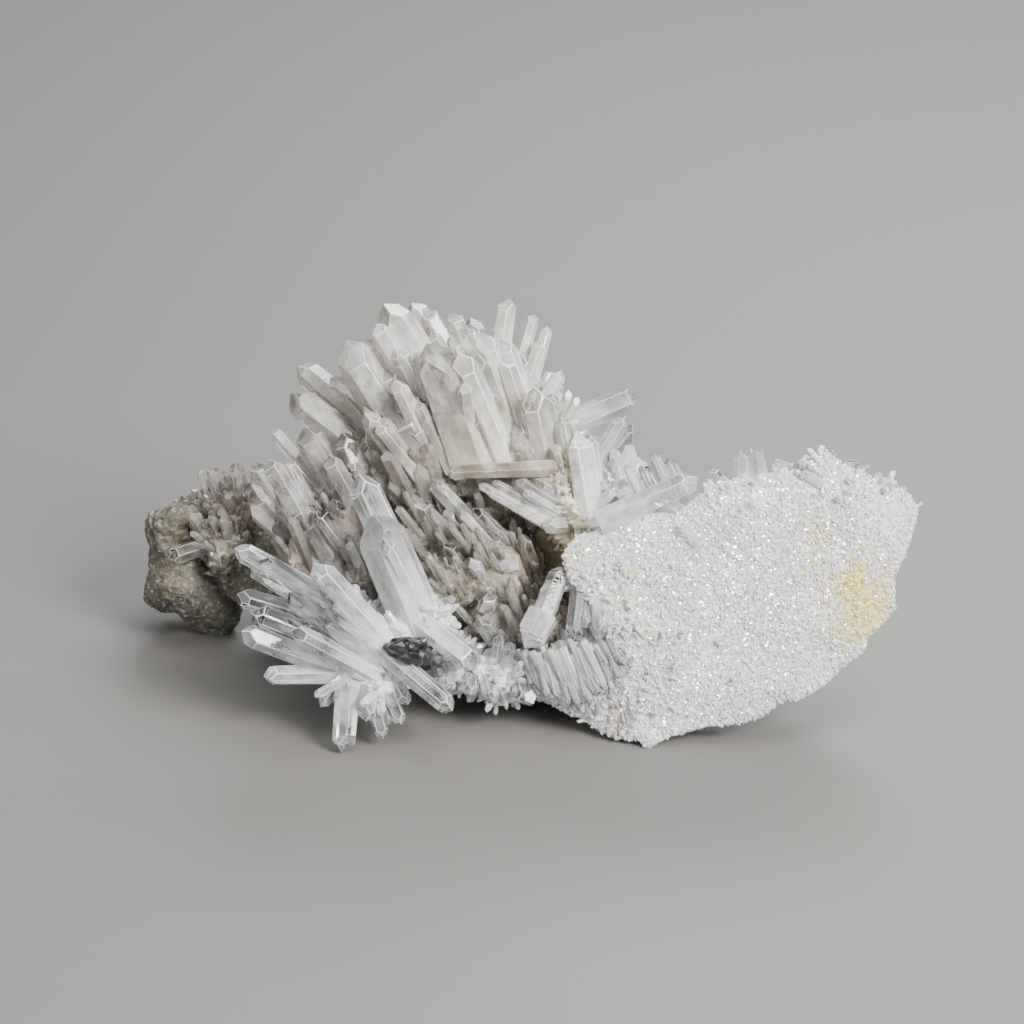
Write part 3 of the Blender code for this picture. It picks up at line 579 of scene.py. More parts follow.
def quartz_finish(name, foot_haze, tip_haze, milk, clear, absorbed, density, stains_and_shade=(), veil=0.3, polish=0.02):
    """Clear towards the tips, clouded at the feet, with veils along its length and fine stripes across it."""
    made, tree, shader = blank(name)
    growth = add(tree, "SeparateXYZ", {0: add(tree, "UVMap", {}, uv_map="growth").outputs[0]})
    along, chance = growth.outputs[0], growth.outputs[1]
    grain = add(tree, "UVMap", {}, uv_map="grain").outputs[0]
    streaks = add(tree, "Mapping", {"Vector": grain, "Scale": (0.32, 0.16, 1.0)}).outputs[0]
    cloud = add(tree, "TexNoise", {"Vector": streaks, "Scale": 1.0, "Detail": 2.0, "Roughness": 0.6}).outputs[0]
    haze = ranged(tree, along, 0.05, 0.75, foot_haze, tip_haze)
    haze = maths(tree, "ADD", haze, ranged(tree, cloud, 0.4, 0.65, -0.3 * veil, veil))
    haze = maths(tree, "ADD", haze, ranged(tree, chance, 0.0, 1.0, -0.12, 0.12))
    # Bevelled edges are milkier: partly wear, partly a painted highlight along the edges.
    haze = maths(tree, "ADD", haze, ranged(tree, along, -0.2, -0.8, 0.0, EDGE_WEAR_AND_HIGHLIGHT_HAZE))
    clearness = ranged(tree, haze, 0.0, 1.0, 1.0, 0.0)
    tree.links.new(clearness, shader.inputs["Transmission Weight"])
    tree.links.new(with_stains_and_shade(tree, blended(tree, clearness, milk, clear), stains_and_shade), shader.inputs["Base Color"])
    tree.links.new(ranged(tree, clearness, 0.3, 1.0, polish + 0.08, polish), shader.inputs["Roughness"])
    stripes = add(tree, "Mapping", {"Vector": grain, "Scale": (0.35, 3.0, 1.0)}).outputs[0]
    lines = add(tree, "TexNoise", {"Vector": stripes, "Scale": 1.0, "Detail": 1.0, "Roughness": 0.6}).outputs[0]
    bump = add(tree, "Bump", {"Height": lines, "Strength": 0.12, "Distance": 0.12 * MM})
    tree.links.new(bump.outputs[0], shader.inputs["Normal"])
    inside = add(tree, "VolumeAbsorption", {"Color": (*absorbed, 1), "Density": density})
    tree.links.new(inside.outputs[0], tree.nodes["Material Output"].inputs["Volume"])
    return made


SLENDERNESS = (1.6, 2.6, 4.2, 7.0)
SPRIG_KINDS = 3


def sprigs(wear):
    """Small crystals a millimetre wide, from stout to slender, for scattering."""
    rng = random.Random("sprigs")
    return [template(crystal(Vector((0, 0, slender)), Vector(), 1.0, rng, 0.0, wear))
            for slender in SLENDERNESS for _ in range(SPRIG_KINDS)]


SHARP_SPRIGS = sprigs(0)
WORN_SPRIGS = sprigs(WORN_EDGE)


def grown(foot, aim, tilt, width, length, rng):
    """The place of one small crystal: the number of the shape that fits it best, its matrix and its chance."""
    kind = min(range(len(SLENDERNESS)), key=lambda i: abs(math.log(SLENDERNESS[i] * width / length)))
    stretch = Matrix.Diagonal((width, width, length / SLENDERNESS[kind], 1))
    matrix = Matrix.Translation(foot) @ turned_to(aim, tilt, rng) @ stretch
    return kind * SPRIG_KINDS + rng.randrange(SPRIG_KINDS), matrix, rng.random()


def druse(bm, name, count, widths, lengths, wanted=None, tilt=0.4, lean=None, sunk=0.3):
    """Small crystals that cover a crust, square to it or leaning in one direction."""
    rng = random.Random(name)
    places = []
    for place, normal in surface_points(bm, count, rng, wanted):
        size = rng.random() ** 2
        width = widths[0] + (widths[1] - widths[0]) * size
        length = (lengths[0] + (lengths[1] - lengths[0]) * size) * rng.uniform(0.7, 1.2)
        aim = normal if lean is None else (normal + lean).normalized()
        places.append(grown(place - aim * sunk * length, aim, tilt, width, length, rng))
    return scattered(name, SHARP_SPRIGS, places)


def between(rows, name, count, widths, lengths, reach=9.0, loose=1.5):
    """Smaller crystals in the spaces between those of a list, as shares of their width and length."""
    rng = random.Random(name)
    ends = [(spot(*row[:3]), spot(*row[3:6]), row[6]) for row in rows]
    pairs = [(a, b) for a in ends for b in ends if a is not b and (a[1] - b[1]).length < reach
             and (a[0] - b[0]).length < 1.6 * reach]
    places = []
    for _ in range(count):
        first, second = rng.choice(pairs)
        share = rng.random()
        foot = first[1].lerp(second[1], share)
        foot += Vector((rng.uniform(-1, 1), rng.uniform(-1, 1), rng.uniform(-1, 1))) * loose
        along = first[0].lerp(second[0], share) - foot
        length = along.length * rng.uniform(*lengths)
        places.append(grown(foot, along.normalized(), 0.05, first[2] * rng.uniform(*widths), length, rng))
    return scattered(name, WORN_SPRIGS, places)


def toward(row):
    """The direction in which a crystal of a list points."""
    return (spot(*row[:3]) - spot(*row[3:6])).normalized()


def sprig_finish(name, milk, clear, clearness, stains_and_shade=(), polish=0.15):
    """Small crystals: whiter at the foot, with one clearness all over."""
    made, tree, shader = blank(name)
    growth = add(tree, "SeparateXYZ", {0: add(tree, "UVMap", {}, uv_map="growth").outputs[0]})
    colour = blended(tree, ranged(tree, growth.outputs[0], 0.2, 0.8), milk, clear)
    colour = blended(tree, ranged(tree, growth.outputs[1], 0.0, 1.0, 0.0, 0.35), colour, milk)
    tree.links.new(with_stains_and_shade(tree, colour, stains_and_shade), shader.inputs["Base Color"])
    shader.inputs["Transmission Weight"].default_value = clearness
    shader.inputs["Roughness"].default_value = polish
    return made


SLAB_TOP = [
    (35.0, 50.4, -4, 35.4, 41, -4, 2.4),
    (36.8, 50.7, -5, 37.0, 41, -4, 2.7),
    (37.9, 50.9, -3, 39.5, 42, -4, 1.9),
    (39.7, 48.3, -6, 46.0, 46, -4, 2.1),
    (29.3, 47.2, -3, 34.5, 42, -3, 2.3),
    (20.3, 50.0, -8, 25.5, 38, -5, 2.4),
    (22.8, 48.8, -9, 28.0, 40, -5, 2.2),
    (18.4, 48.3, -9, 23.0, 38, -5, 2.2),
    (16.0, 48.1, -10, 21.5, 37, -5, 2.0),
    (53.8, 48.8, -7, 52.0, 43, -4, 2.4),
    (56.0, 48.2, -7, 54.0, 42, -4, 2.4),
    (58.2, 46.8, -7, 56.0, 41, -4, 2.4),
    (60.4, 45.7, -6, 58.0, 41, -4, 2.0),
    (49.6, 50.8, -4, 49.0, 44, -3, 3.4),
]
SLAB_LYING = [
    (25.2, 38.2, 0.9, 28.0, 34.4, 0.2, 1.0),
    (44.0, 48.4, -1.5, 48.4, 45.0, -1.5, 1.9),
    (45.0, 46.8, -0.6, 48.8, 44.4, -0.8, 1.5),
    (62.8, 44.4, -4.5, 60.0, 41.5, -4, 1.6),
    (20.2, 42.2, -1.0, 24.4, 40.2, -1.2, 0.9),
    (21.8, 43.0, -1.4, 25.6, 40.6, -1.4, 0.8),
]
SLAB_LEFT = [
    (-0.8, 17.0, 1, 2.4, 23.0, -0.6, 4.8),
    (5.4, 31.0, -3, 0.6, 19.0, 0.4, 3.4),
    (4.4, 27.6, -1.5, 0.8, 18.4, 0.8, 2.6),
    (7.2, 18.5, 0, 8.5, 28, -4, 3.0),
    (9.2, 20.5, -1, 9.8, 28, -4, 2.4),
    (11.5, 18.6, 0, 11.5, 27, -3, 3.2),
    (1.6, 26.6, -2, 7.0, 28, -4, 1.8),
]
FIBRES = [
    (0.5, 8.2, -3.6, -1.0, 15.5, -7, 2.2),
    (3.4, 8.6, -2.6, 0.8, 16.0, -6, 2.4),
    (6.2, 7.2, -1.6, 2.6, 16.0, -5, 2.4),
    (8.6, 6.0, -1.0, 4.8, 16.5, -5, 2.6),
    (11.0, 6.6, -0.2, 7.2, 17.0, -4, 2.6),
    (12.9, 8.6, 0.2, 9.6, 17.6, -4, 2.6),
    (15.6, 9.8, 0.8, 11.8, 18.6, -3, 2.8),
    (16.6, 13.4, 1.0, 13.4, 20.0, -3, 2.4),
    (13.9, 4.6, 0.2, 11.0, 11.0, -3, 2.2),
]
CLEAR = (0.97, 0.98, 0.98)
slab_quartz = quartz_finish("glassy quartz of the slab", 0.3, 0.02, (0.93, 0.94, 0.95), CLEAR, (0.93, 0.94, 0.95), 60,
                            veil=0.2)
shown(crystals(SLAB_TOP, "slab top"), "slab_top_crystals", "quartz_slab", slab_quartz)
shown(crystals(SLAB_LYING, "slab lying"), "slab_lying_crystals", "quartz_slab", slab_quartz)
shown(crystals(SLAB_LEFT, "slab left"), "slab_left_crystals", "quartz_slab", slab_quartz)
fibre_quartz = quartz_finish("fibrous quartz", 0.5, 0.15, (0.90, 0.89, 0.87), CLEAR, (0.90, 0.88, 0.85), 40,
                             [(spot(13.5, 4.8, -1), 3.5, OCHRE, 0.7)], veil=0.3)
placed(between(FIBRES, "fibres", 230, (0.2, 0.6), (0.35, 0.9), 5.0, 1.5), "slab_fibres", "quartz_slab",
       fibre_quartz)
slab_sprigs = sprig_finish("small crystals of the slab", (0.95, 0.96, 0.97), CLEAR, 0.65, SLAB_STAINS)


def slab_druse(name, finish, count, widths, lengths, wanted, **settings):
    mesh = druse(slab, name, count, widths, lengths, wanted, **settings)
    placed(mesh, name, "quartz_slab", finish)


def near_left(face):
    place = face.calc_center_median()
    across, up = seen_at(place)
    edge = 24 - 0.2 * up + 14 * noise.noise(place / 3)
    return on_front(face) and 6 < across < edge and 6 < up < 31


def on_fibres(face):
    across, up = seen_at(face.calc_center_median())
    return on_front(face) and across < 17 and up < 18.5


def on_upper_rim(face):
    across, up = seen_at(face.calc_center_median())
    return face.normal.z > 0.55 and across > 29


slab_druse("slab_flakes", sugar_glints, 420, (0.25, 0.7), (1.0, 2.8), near_left, tilt=0.5,
           lean=toward((12, 33, 0, 15, 27, 0)) * 2.5, sunk=0.5)
slab_druse("slab_lower_flakes", sugar_glints, 250, (0.25, 0.7), (1.0, 2.8), near_left, tilt=0.5,
           lean=toward((8, 10, 0, 12, 20, 0)) * 2.5, sunk=0.5)
slab_druse("slab_fine_fibres", slab_sprigs, 480, (0.4, 1.0), (2.5, 7.0), on_fibres, tilt=0.12,
           lean=toward(FIBRES[3]) * 5, sunk=0.85)
slab_druse("slab_rim_druse", sugar_glints, 130, (0.5, 1.4), (1.5, 3.6), on_upper_rim, tilt=0.5)
slab.free()


# The large clear crystal on the slab's upper left, and the one that points right behind the blades.
# Both are single prisms, clear with a few veils.

SLAB_LARGE = [(28.3, 45.8, -0.8, 11.5, 38.0, -2.4, 4.6)]
LONE_RIGHT = [(17.8, 59.5, -32, 4.5, 54, -29, 4.2)]
shown(crystals(SLAB_LARGE, "slab large"), "slab_large_prism", "slab_large_crystal", fibre_quartz)
shown(crystals(LONE_RIGHT, "lone"), "lone_right_prism", "lone_right_crystal", slab_quartz)


# The black grain. A glossy piece of dark ore, broken in curved faces, wedged in the front spray.

GRAIN = (-20.2, 17.0, 2.2, 3.8, 2.4, 2.2, 0.35)
LUMP_DETAIL = 1.6


def lump(middle, half_sizes, roughness, fineness):
    """A rough rounded mass: a ball pushed in and out."""
    bm = bmesh.new()
    bmesh.ops.create_icosphere(bm, subdivisions=fineness, radius=1.0)
    for vert in bm.verts:
        rough = 1 + 2 * roughness * noise.noise(vert.co * LUMP_DETAIL + middle)
        vert.co = middle + Vector(half_sizes) * vert.co * rough
    return bm


def ore_finish():
    made, tree, shader = blank("glossy black ore")
    colour = blended(tree, ranged(tree, mottle(tree, 1.2), 0.4, 0.7), (0.006, 0.007, 0.009), (0.05, 0.05, 0.055))
    tree.links.new(colour, shader.inputs["Base Color"])
    tree.links.new(ranged(tree, mottle(tree, 0.8), 0.3, 0.7, 0.08, 0.4), shader.inputs["Roughness"])
    bump = add(tree, "Bump", {"Height": mottle(tree, 0.8, 3.0), "Strength": 0.12, "Distance": 0.2 * MM})
    tree.links.new(bump.outputs[0], shader.inputs["Normal"])
    return made


ore = lump(spot(*GRAIN[:3]), GRAIN[3:6], GRAIN[6], 4)
ore = roughened(ore, 3.0, 0.6)
shown(ore, "black_ore_grain", "dark_grain", ore_finish())


# The front spray. The clearest crystals of the cluster, which burst left and down from one milky heart.

FRONT_SPRAY = [
    (-49.4, 34.3, -3, -28, 22, -5, 3.8),
    (-45.5, 32.0, 3, -26, 19, -3, 4.6),
    (-36.0, 31.6, 4, -24, 18, -3, 4.2),
    (-46.8, 30.3, -5, -30, 20, -6, 2.2),
    (-48.9, 26.2, 0, -29, 20, -4, 3.4),
    (-40.3, 26.6, 7, -25, 15, -2, 4.4),
    (-46.7, 23.3, 3, -27, 15, -3, 4.4),
    (-39.9, 20.4, 8, -26, 13, -1, 3.2),
    (-48.1, 20.0, 2, -28, 13, -4, 4.2),
    (-42.4, 18.6, -2, -29, 13, -5, 3.0),
    (-44.7, 12.7, 1, -29, 13, -3, 3.2),
    (-31.2, -0.3, 1, -30, 16, -2, 4.4),
    (-24.5, 2.2, 0, -28, 14, -3, 2.4),
    (-12.8, 7.0, 5, -27, 19, -2, 4.0),
    (-8.5, 14.0, 0, -20, 23, -5, 4.2),
    (-21.3, 4.6, 1, -25, 13, -3, 2.2),
    (-27.5, 5.0, 2, -26, 13, -2, 3.2),
    (-35.0, 7.5, -1, -29, 14, -4, 2.2),
    (-36.0, 9.2, 2, -28, 14, -3, 1.8),
    (-20.3, 7.8, 0, -24, 15, -4, 2.4),
    (-33.0, 26.5, -3, -26, 19, -6, 3.4),
]
SPRAY_ROOTS = [
    (-26, 17, -6, 5, 5, 4, 0.3),
    (-29, 21, -7, 4, 4, 4, 0.3),
    (-22, 20, -6, 4, 4, 4, 0.3),
    (-26, 11, -3, 4, 4, 3, 0.3),
    (-25, 19, -11, 5, 5, 5, 0.3),
]
CRUST_MESH = 0.5
CRUST_GRAIN = 1.2
CRUST_RELIEF = 0.45
CRUST_STREAK = 5.0


def crust(roots):
    """The rough quartz that a group grows from: lumps fused and set with facets."""
    return fused([lump(spot(*row[:3]), row[3:6], row[6], 3) for row in roots])


def fused(lumps):
    bm = bmesh.new()
    for part in lumps:
        mesh = bpy.data.meshes.new("lump")
        part.to_mesh(mesh)
        part.free()
        bm.from_mesh(mesh)
    bm = applied(bm, "REMESH", mode="VOXEL", voxel_size=CRUST_MESH)
    return roughened(bm, CRUST_GRAIN, CRUST_RELIEF, 0.0)


spray_quartz = quartz_finish("clear quartz of the spray", 0.5, 0.02, (0.94, 0.95, 0.95), CLEAR, (0.95, 0.96, 0.96),
                             30, [(spot(-48.5, 26.2, 0), 1.5, (0.85, 0.6, 0.4), 0.6)], veil=0.25, polish=0.01)
spray_druse = sprig_finish("druse of the spray", (0.90, 0.91, 0.90), CLEAR, 0.5,
                           [(spot(-29, 17, 0), 5, (0.62, 0.55, 0.36), 0.4)])


def crust_finish(name, pale, dark, stains_and_shade, along=None):
    """A rough crust in two tones. Where crystals grew together in one direction, its streaks run that way."""
    made, tree, shader = blank(name)
    place = add(tree, "TexCoord", {}).outputs["Object"]
    if along is not None:
        turn = Vector((0, 0, 1)).rotation_difference(along).to_euler()
        sockets = {"Vector": place, "Rotation": turn, "Scale": (1.0, 1.0, CRUST_STREAK)}
        place = add(tree, "Mapping", sockets, vector_type="TEXTURE").outputs[0]
    streaks = mottle(tree, 1.1, 3.0, place=place)
    tone = maths(tree, "ADD", streaks, ranged(tree, mottle(tree, 5.0, 2.0), 0.3, 0.7, -0.1, 0.1))
    colour = blended(tree, ranged(tree, tone, 0.35, 0.65), pale, dark)
    tree.links.new(with_stains_and_shade(tree, colour, stains_and_shade), shader.inputs["Base Color"])
    tree.links.new(ranged(tree, streaks, 0.3, 0.7, 0.1, 0.5), shader.inputs["Roughness"])
    bump = add(tree, "Bump", {"Height": streaks, "Strength": 0.6, "Distance": 0.5 * MM})
    tree.links.new(bump.outputs[0], shader.inputs["Normal"])
    return made


HEART_STAINS = [
    (spot(-16, 19.5, -4), 4, (0.62, 0.52, 0.25), 0.55),
    (spot(-30, 17, -4), 5, (0.6, 0.55, 0.4), 0.4),
]
pale_crust = crust_finish("milky heart of the spray", (0.88, 0.89, 0.88), (0.74, 0.74, 0.71), HEART_STAINS)
heart = crust(SPRAY_ROOTS)
heart_druse = druse(heart, "heart druse", 450, (0.5, 1.6), (1.5, 5.0))
spray_young = between(FRONT_SPRAY, "young spray", 45, (0.35, 0.7), (0.35, 0.75), 8.0)
shown(crystals(FRONT_SPRAY, "spray"), "spray_prisms", "front_spray_crystals", spray_quartz)
shown(heart, "spray_heart", "front_spray_crystals", pale_crust)
placed(heart_druse, "spray_druse", "front_spray_crystals", spray_druse)
placed(spray_young, "spray_small_prisms", "front_spray_crystals", spray_quartz)


# The broad striped crystal and its companions. Clouded prisms with a clear striped tip that mirrors the light.

STRIPED = [
    (-28.8, 46.7, -4, -19, 25, -9, 5.6),
    (-26.0, 39.8, -1, -18, 21, -7, 8.4),
    (-24.5, 35.5, 1, -18, 23, -6, 3.6),
]
STRIPED_ROOTS = [(-18, 22, -8, 5, 5, 4, 0.2)]
striped_quartz = quartz_finish("clouded quartz", 0.75, 0.15, (0.86, 0.86, 0.85), CLEAR, (0.90, 0.89, 0.88), 60,
                               HEART_STAINS, veil=0.25)
shown(crystals(STRIPED, "striped"), "striped_prisms", "striped_crystals", striped_quartz)
striped_crust = crust(STRIPED_ROOTS)
striped_druse = druse(striped_crust, "striped druse", 160, (0.5, 1.4), (1.2, 3.0))
shown(striped_crust, "striped_root", "striped_crystals", pale_crust)
placed(striped_druse, "striped_root_druse", "striped_crystals", spray_druse)


# The left fan. Greyer crystals behind the spray, with brown between their feet that is partly stain and partly painted
# shade.

LEFT_FAN = [
    (-43.5, 48.9, -17, -33, 31, -15, 4.0),
    (-40.6, 48.8, -19, -33, 33, -17, 2.8),
    (-46.0, 48.0, -26, -36, 34, -20, 5.0),
    (-42.0, 43.5, -19, -32, 31, -16, 6.4),
    (-35.8, 40.2, -11, -28, 30, -14, 3.2),
    (-38.0, 54.2, -19, -28, 38, -18, 5.0),
    (-43.0, 53.7, -25, -31, 40, -20, 3.2),
    (-33.5, 49.5, -14, -26, 36, -16, 3.4),
    (-31.5, 53.5, -16, -25, 38, -18, 4.2),
    (-46.5, 41.5, -24, -35, 32, -19, 4.2),
    (-30.2, 34.9, -6, -28, 30, -12, 1.6),
]
LEFT_FAN_ROOTS = [
    (-28, 36, -18, 6, 7, 6, 0.25),
    (-34, 33, -18, 6, 6, 5, 0.25),
    (-29.5, 28, -14, 5, 5, 4, 0.25),
]
# The brown patch between the fan's feet is partly stain, partly painted shade.
LEFT_STAINS_AND_SHADE = [(spot(-38, 33, -17), 9, BROWN_STAIN_AND_SHADE, 0.5), (spot(-27, 44, -14), 12, GREY_BROWN, 0.6)]
left_quartz = quartz_finish("grey quartz of the left fan", 0.6, 0.15, (0.74, 0.70, 0.65), (0.97, 0.96, 0.95),
                            (0.84, 0.79, 0.74), 110, LEFT_STAINS_AND_SHADE, veil=0.25)
left_brown = crust_finish("brown crust of the left fan, with stain and painted shade", (0.60, 0.56, 0.50), (0.36, 0.31, 0.26), LEFT_STAINS_AND_SHADE,
                          toward(LEFT_FAN[1]))
left_sprigs = sprig_finish("small crystals of the left fan", (0.52, 0.475, 0.41), (0.82, 0.78, 0.73), 0.8, LEFT_STAINS_AND_SHADE, 0.2)
left_crust = crust(LEFT_FAN_ROOTS)
left_druse = druse(left_crust, "left druse", 220, (0.8, 2.4), (6.0, 13.0), tilt=0.1, lean=toward(LEFT_FAN[1]) * 5,
                   sunk=0.55)
left_young = between(LEFT_FAN, "young left fan", 34, (0.6, 1.2), (0.4, 0.85))
shown(crystals(LEFT_FAN, "left fan"), "left_fan_prisms", "left_fan_crystals", left_quartz)
shown(left_crust, "left_fan_crust", "left_fan_crystals", left_brown)
placed(left_druse, "left_fan_druse", "left_fan_crystals", left_sprigs)
placed(left_young, "left_fan_small_prisms", "left_fan_crystals", left_quartz)


# The right blades. Flat white blades that stand left of the slab, with a level crystal across the gully
# and a bunch of long crystals that slope out of the same yellow, gritty root.

RIGHT_BLADES = [
    (7.5, 53.6, -11, 10.0, 37.5, -12, 5.4),
    (5.2, 56.0, -12, 8.0, 41, -13, 3.0),
    (9.8, 53.2, -12, 11.0, 41, -13, 3.0),
    (11.2, 50.0, -13, 11.0, 39, -13, 2.4),
    (4.0, 51.5, -11, 7.0, 39, -13, 2.8),
    (-14.0, 46.6, -4, 8, 47.5, -13, 2.5),
    (-8.5, 44.6, -5, 8, 35.5, -12, 1.8),
    (-7.0, 43.2, -5, 8, 34.8, -12, 1.5),
    (-6.4, 45.0, -6, 8, 37.0, -12, 1.8),
    (-2.3, 45.4, -6, 9, 38.5, -13, 2.2),
    (-1.2, 43.6, -6, 9, 37.5, -13, 1.6),
    (1.2, 45.4, -8, 9, 40, -13, 2.2),
    (14.3, 45.2, -11, 8, 43, -13, 2.3),
    (14.2, 43.8, -9, 9, 38.5, -12, 1.9),
    (2.0, 37.5, -7, 8, 38, -12, 2.6),
]
BLADE_ROOTS = [(8, 41, -14, 4, 6, 3, 0.3), (4.5, 46, -14, 4, 5, 3, 0.4), (8, 36, -13, 4, 4, 3, 0.3)]
BLADE_STAINS = [
    (spot(3.5, 48, -12), 6, (0.66, 0.62, 0.36), 0.7),
    (spot(4, 36, -11), 5, OCHRE, 0.7),
    (spot(-10, 46.8, -5), 5.5, GREY_BROWN, 1.0),
    (spot(-3, 47, -8.5), 6.5, GREY_BROWN, 1.0),
    (spot(4, 47.3, -11), 4.5, GREY_BROWN, 0.9),
]
blade_quartz = quartz_finish("white quartz of the blades", 0.65, 0.25, (0.90, 0.91, 0.90), CLEAR, (0.92, 0.91, 0.88),
                             60, BLADE_STAINS, veil=0.2)
gritty_crust = crust_finish("yellow gritty crust", (0.70, 0.68, 0.52), (0.60, 0.55, 0.34), BLADE_STAINS)
blade_sprigs = sprig_finish("grit of the blades' root", (0.84, 0.82, 0.66), (0.90, 0.90, 0.84), 0.3, BLADE_STAINS)
blade_crust = crust(BLADE_ROOTS)
blade_druse = druse(blade_crust, "blade druse", 700, (0.3, 0.9), (0.8, 2.6))
shown(crystals(RIGHT_BLADES, "blades"), "blade_prisms", "right_blade_crystals", blade_quartz)
shown(blade_crust, "blade_crust", "right_blade_crystals", gritty_crust)
placed(blade_druse, "blade_druse", "right_blade_crystals", blade_sprigs)


# The top fan. The largest crystals, milky to clear, which rise and spread from a root on the rock's ridge.

TOP_FAN = [
    (-24.8, 75.1, -16, -11, 55, -19, 7.0),
    (-19.9, 74.9, -19, -10, 58, -20, 4.0),
    (-17.5, 73.9, -18, -9, 58, -19, 4.0),
    (-13.3, 73.2, -21, -7, 58, -21, 3.5),
    (-13.2, 69.6, -10, -9, 57, -18, 2.8),
    (-25.8, 71.2, -12, -15, 54, -17, 4.0),
    (-31.0, 68.5, -14, -18, 49, -18, 7.5),
    (-27.5, 69.2, -16, -17, 52, -19, 5.0),
    (-38.8, 64.6, -26, -25, 53, -23, 4.5),
    (-40.0, 60.0, -24, -26, 49, -22, 6.0),
    (-17.0, 68.8, -9, -9.5, 47, -15, 9.4),
    (-12.2, 66.8, -8, -4, 47, -15, 6.0),
    (-11.0, 61.3, -5, -10, 52, -13, 2.6),
    (-3.6, 75.6, -20, -6, 57, -20, 3.8),
    (0.7, 72.9, -25, -4, 57, -22, 2.6),
    (2.9, 71.2, -26, -2, 55, -22, 2.8),
    (1.9, 68.6, -22, -3, 54, -20, 2.8),
    (5.5, 63.7, -22, -1, 53, -20, 2.8),
    (-8.5, 70.3, -13, -2, 52, -17, 5.0),
    (-4.9, 69.0, -15, 1, 52, -18, 4.2),
    (0.5, 61.0, -10, 3, 47, -17, 5.5),
    (8.1, 59.2, -12, 1, 47, -18, 2.0),
    (-27.7, 56.5, -9, -19, 46, -15, 3.2),
    (-25.6, 54.6, -8, -17, 44, -14, 3.2),
    (-33.5, 62.5, -20, -22, 50, -20, 4.2),
    (-22.5, 62.0, -9, -15, 47, -15, 3.4),
]
TOP_FAN_ROOTS = [
    (-9, 51, -21, 10, 8, 8, 0.25),
    (-18, 48, -20, 9, 8, 7, 0.25),
    (-1, 48, -20, 7, 8, 7, 0.25),
    (-26, 47, -21, 6, 6, 6, 0.25),
]
FAN_STAINS = [
    (spot(-12, 51, -9), 8, (0.52, 0.45, 0.27), 0.55),
    (spot(-22, 51, -12), 9, GREY_BROWN, 0.6),
    (spot(-3.5, 58, -12), 3, (0.50, 0.42, 0.20), 0.6),
    (spot(-31, 56, -18), 9, GREY_BROWN, 0.55),
]
fan_quartz = quartz_finish("milky quartz of the top fan", 0.75, 0.28, (0.84, 0.80, 0.74), (0.98, 0.97, 0.95),
                           (0.88, 0.82, 0.75), 100, FAN_STAINS, veil=0.3)
fan_sprigs = sprig_finish("small crystals of the top fan", (0.68, 0.63, 0.56), (0.88, 0.85, 0.81), 0.75, FAN_STAINS, 0.2)
fan_grey = crust_finish("grown-together feet of the top fan", (0.76, 0.73, 0.68), (0.50, 0.46, 0.40), FAN_STAINS,
                        toward(TOP_FAN[10]))
fan_crust = crust(TOP_FAN_ROOTS)
fan_druse = druse(fan_crust, "fan druse", 320, (1.0, 3.2), (4.0, 12.0), tilt=0.12, lean=toward(TOP_FAN[10]) * 4,
                  sunk=0.6)
fan_young = between(TOP_FAN, "young top fan", 90, (0.6, 1.1), (0.45, 0.85))
shown(crystals(TOP_FAN, "top fan"), "top_fan_prisms", "top_fan_crystals", fan_quartz)
shown(fan_crust, "top_fan_crust", "top_fan_crystals", fan_grey)
placed(fan_druse, "top_fan_druse", "top_fan_crystals", fan_sprigs)
placed(fan_young, "top_fan_small_prisms", "top_fan_crystals", fan_quartz)


# The gully. A hollow between the fans and the slab, floored with small crystals, stained olive and ochre, and brown
# that is partly stain and partly painted shade.

GULLY = [
    (-19.5, 43.0, -12, -12, 30, -16, 4.0),
    (-14.5, 40.5, -12, -9, 30, -16, 4.0),
    (-9.8, 32.1, -7, -6, 26, -15, 2.8),
    (-1.6, 30.3, -8, -8, 33, -15, 4.0),
    (-8.3, 23.5, -6, -2, 29, -14, 3.4),
    (-12.3, 25.6, -7, -18, 24, -12, 1.6),
    (-9.0, 26.2, -9, -14, 24, -13, 1.7),
    (-8.5, 22.5, -5, -4, 16, -13, 2.8),
    (-9.6, 40.8, -9, 0, 31, -15, 2.6),
    (-16.5, 45.5, -10, -5, 33, -15, 2.8),
    (-11.5, 40.0, -8, -4, 32, -14, 1.7),
    (-1.5, 36.0, -9, 1, 29, -15, 2.8),
    (-14.5, 35.5, -10, -9, 27, -15, 3.0),
    (-2.8, 22.0, -7, -3, 27, -14, 2.4),
]
GULLY_ROOTS = [
    (-6, 30, -15, 8, 7, 6, 0.3),
    (-13, 28, -14, 6, 6, 5, 0.3),
    (-4, 22, -13, 6, 6, 5, 0.3),
    (-12, 35, -15, 5, 5, 5, 0.3),
    (-17, 38, -18, 6, 6, 6, 0.3),
    (2.5, 21, -11, 4.5, 6, 4, 0.3),
]
# The brown patch deep in the hollow is partly stain, partly painted shade; the ochre and olive ones are stains.
GULLY_STAINS_AND_SHADE = [
    (spot(2.5, 32, -12), 7, BROWN_STAIN_AND_SHADE, 0.85),
    (spot(3, 36.5, -11), 3.5, OCHRE, 0.7),
    (spot(-11, 27, -11), 6, OLIVE, 0.5),
    (spot(-3, 26, -11), 5, OLIVE, 0.3),
]
gully_quartz = quartz_finish("quartz of the gully, with stain and painted shade", 0.5, 0.15, (0.84, 0.82, 0.78), (0.97, 0.96, 0.95),
                             (0.88, 0.85, 0.80), 80, GULLY_STAINS_AND_SHADE, veil=0.3)
gully_brown = crust_finish("dark crust of the gully", (0.36, 0.325, 0.27), (0.22, 0.19, 0.15), GULLY_STAINS_AND_SHADE,
                           toward(GULLY[1]))
gully_crust = crust(GULLY_ROOTS)
gully_sprigs = sprig_finish("small crystals of the gully", (0.44, 0.40, 0.335), (0.80, 0.76, 0.70), 0.75, GULLY_STAINS_AND_SHADE, 0.15)
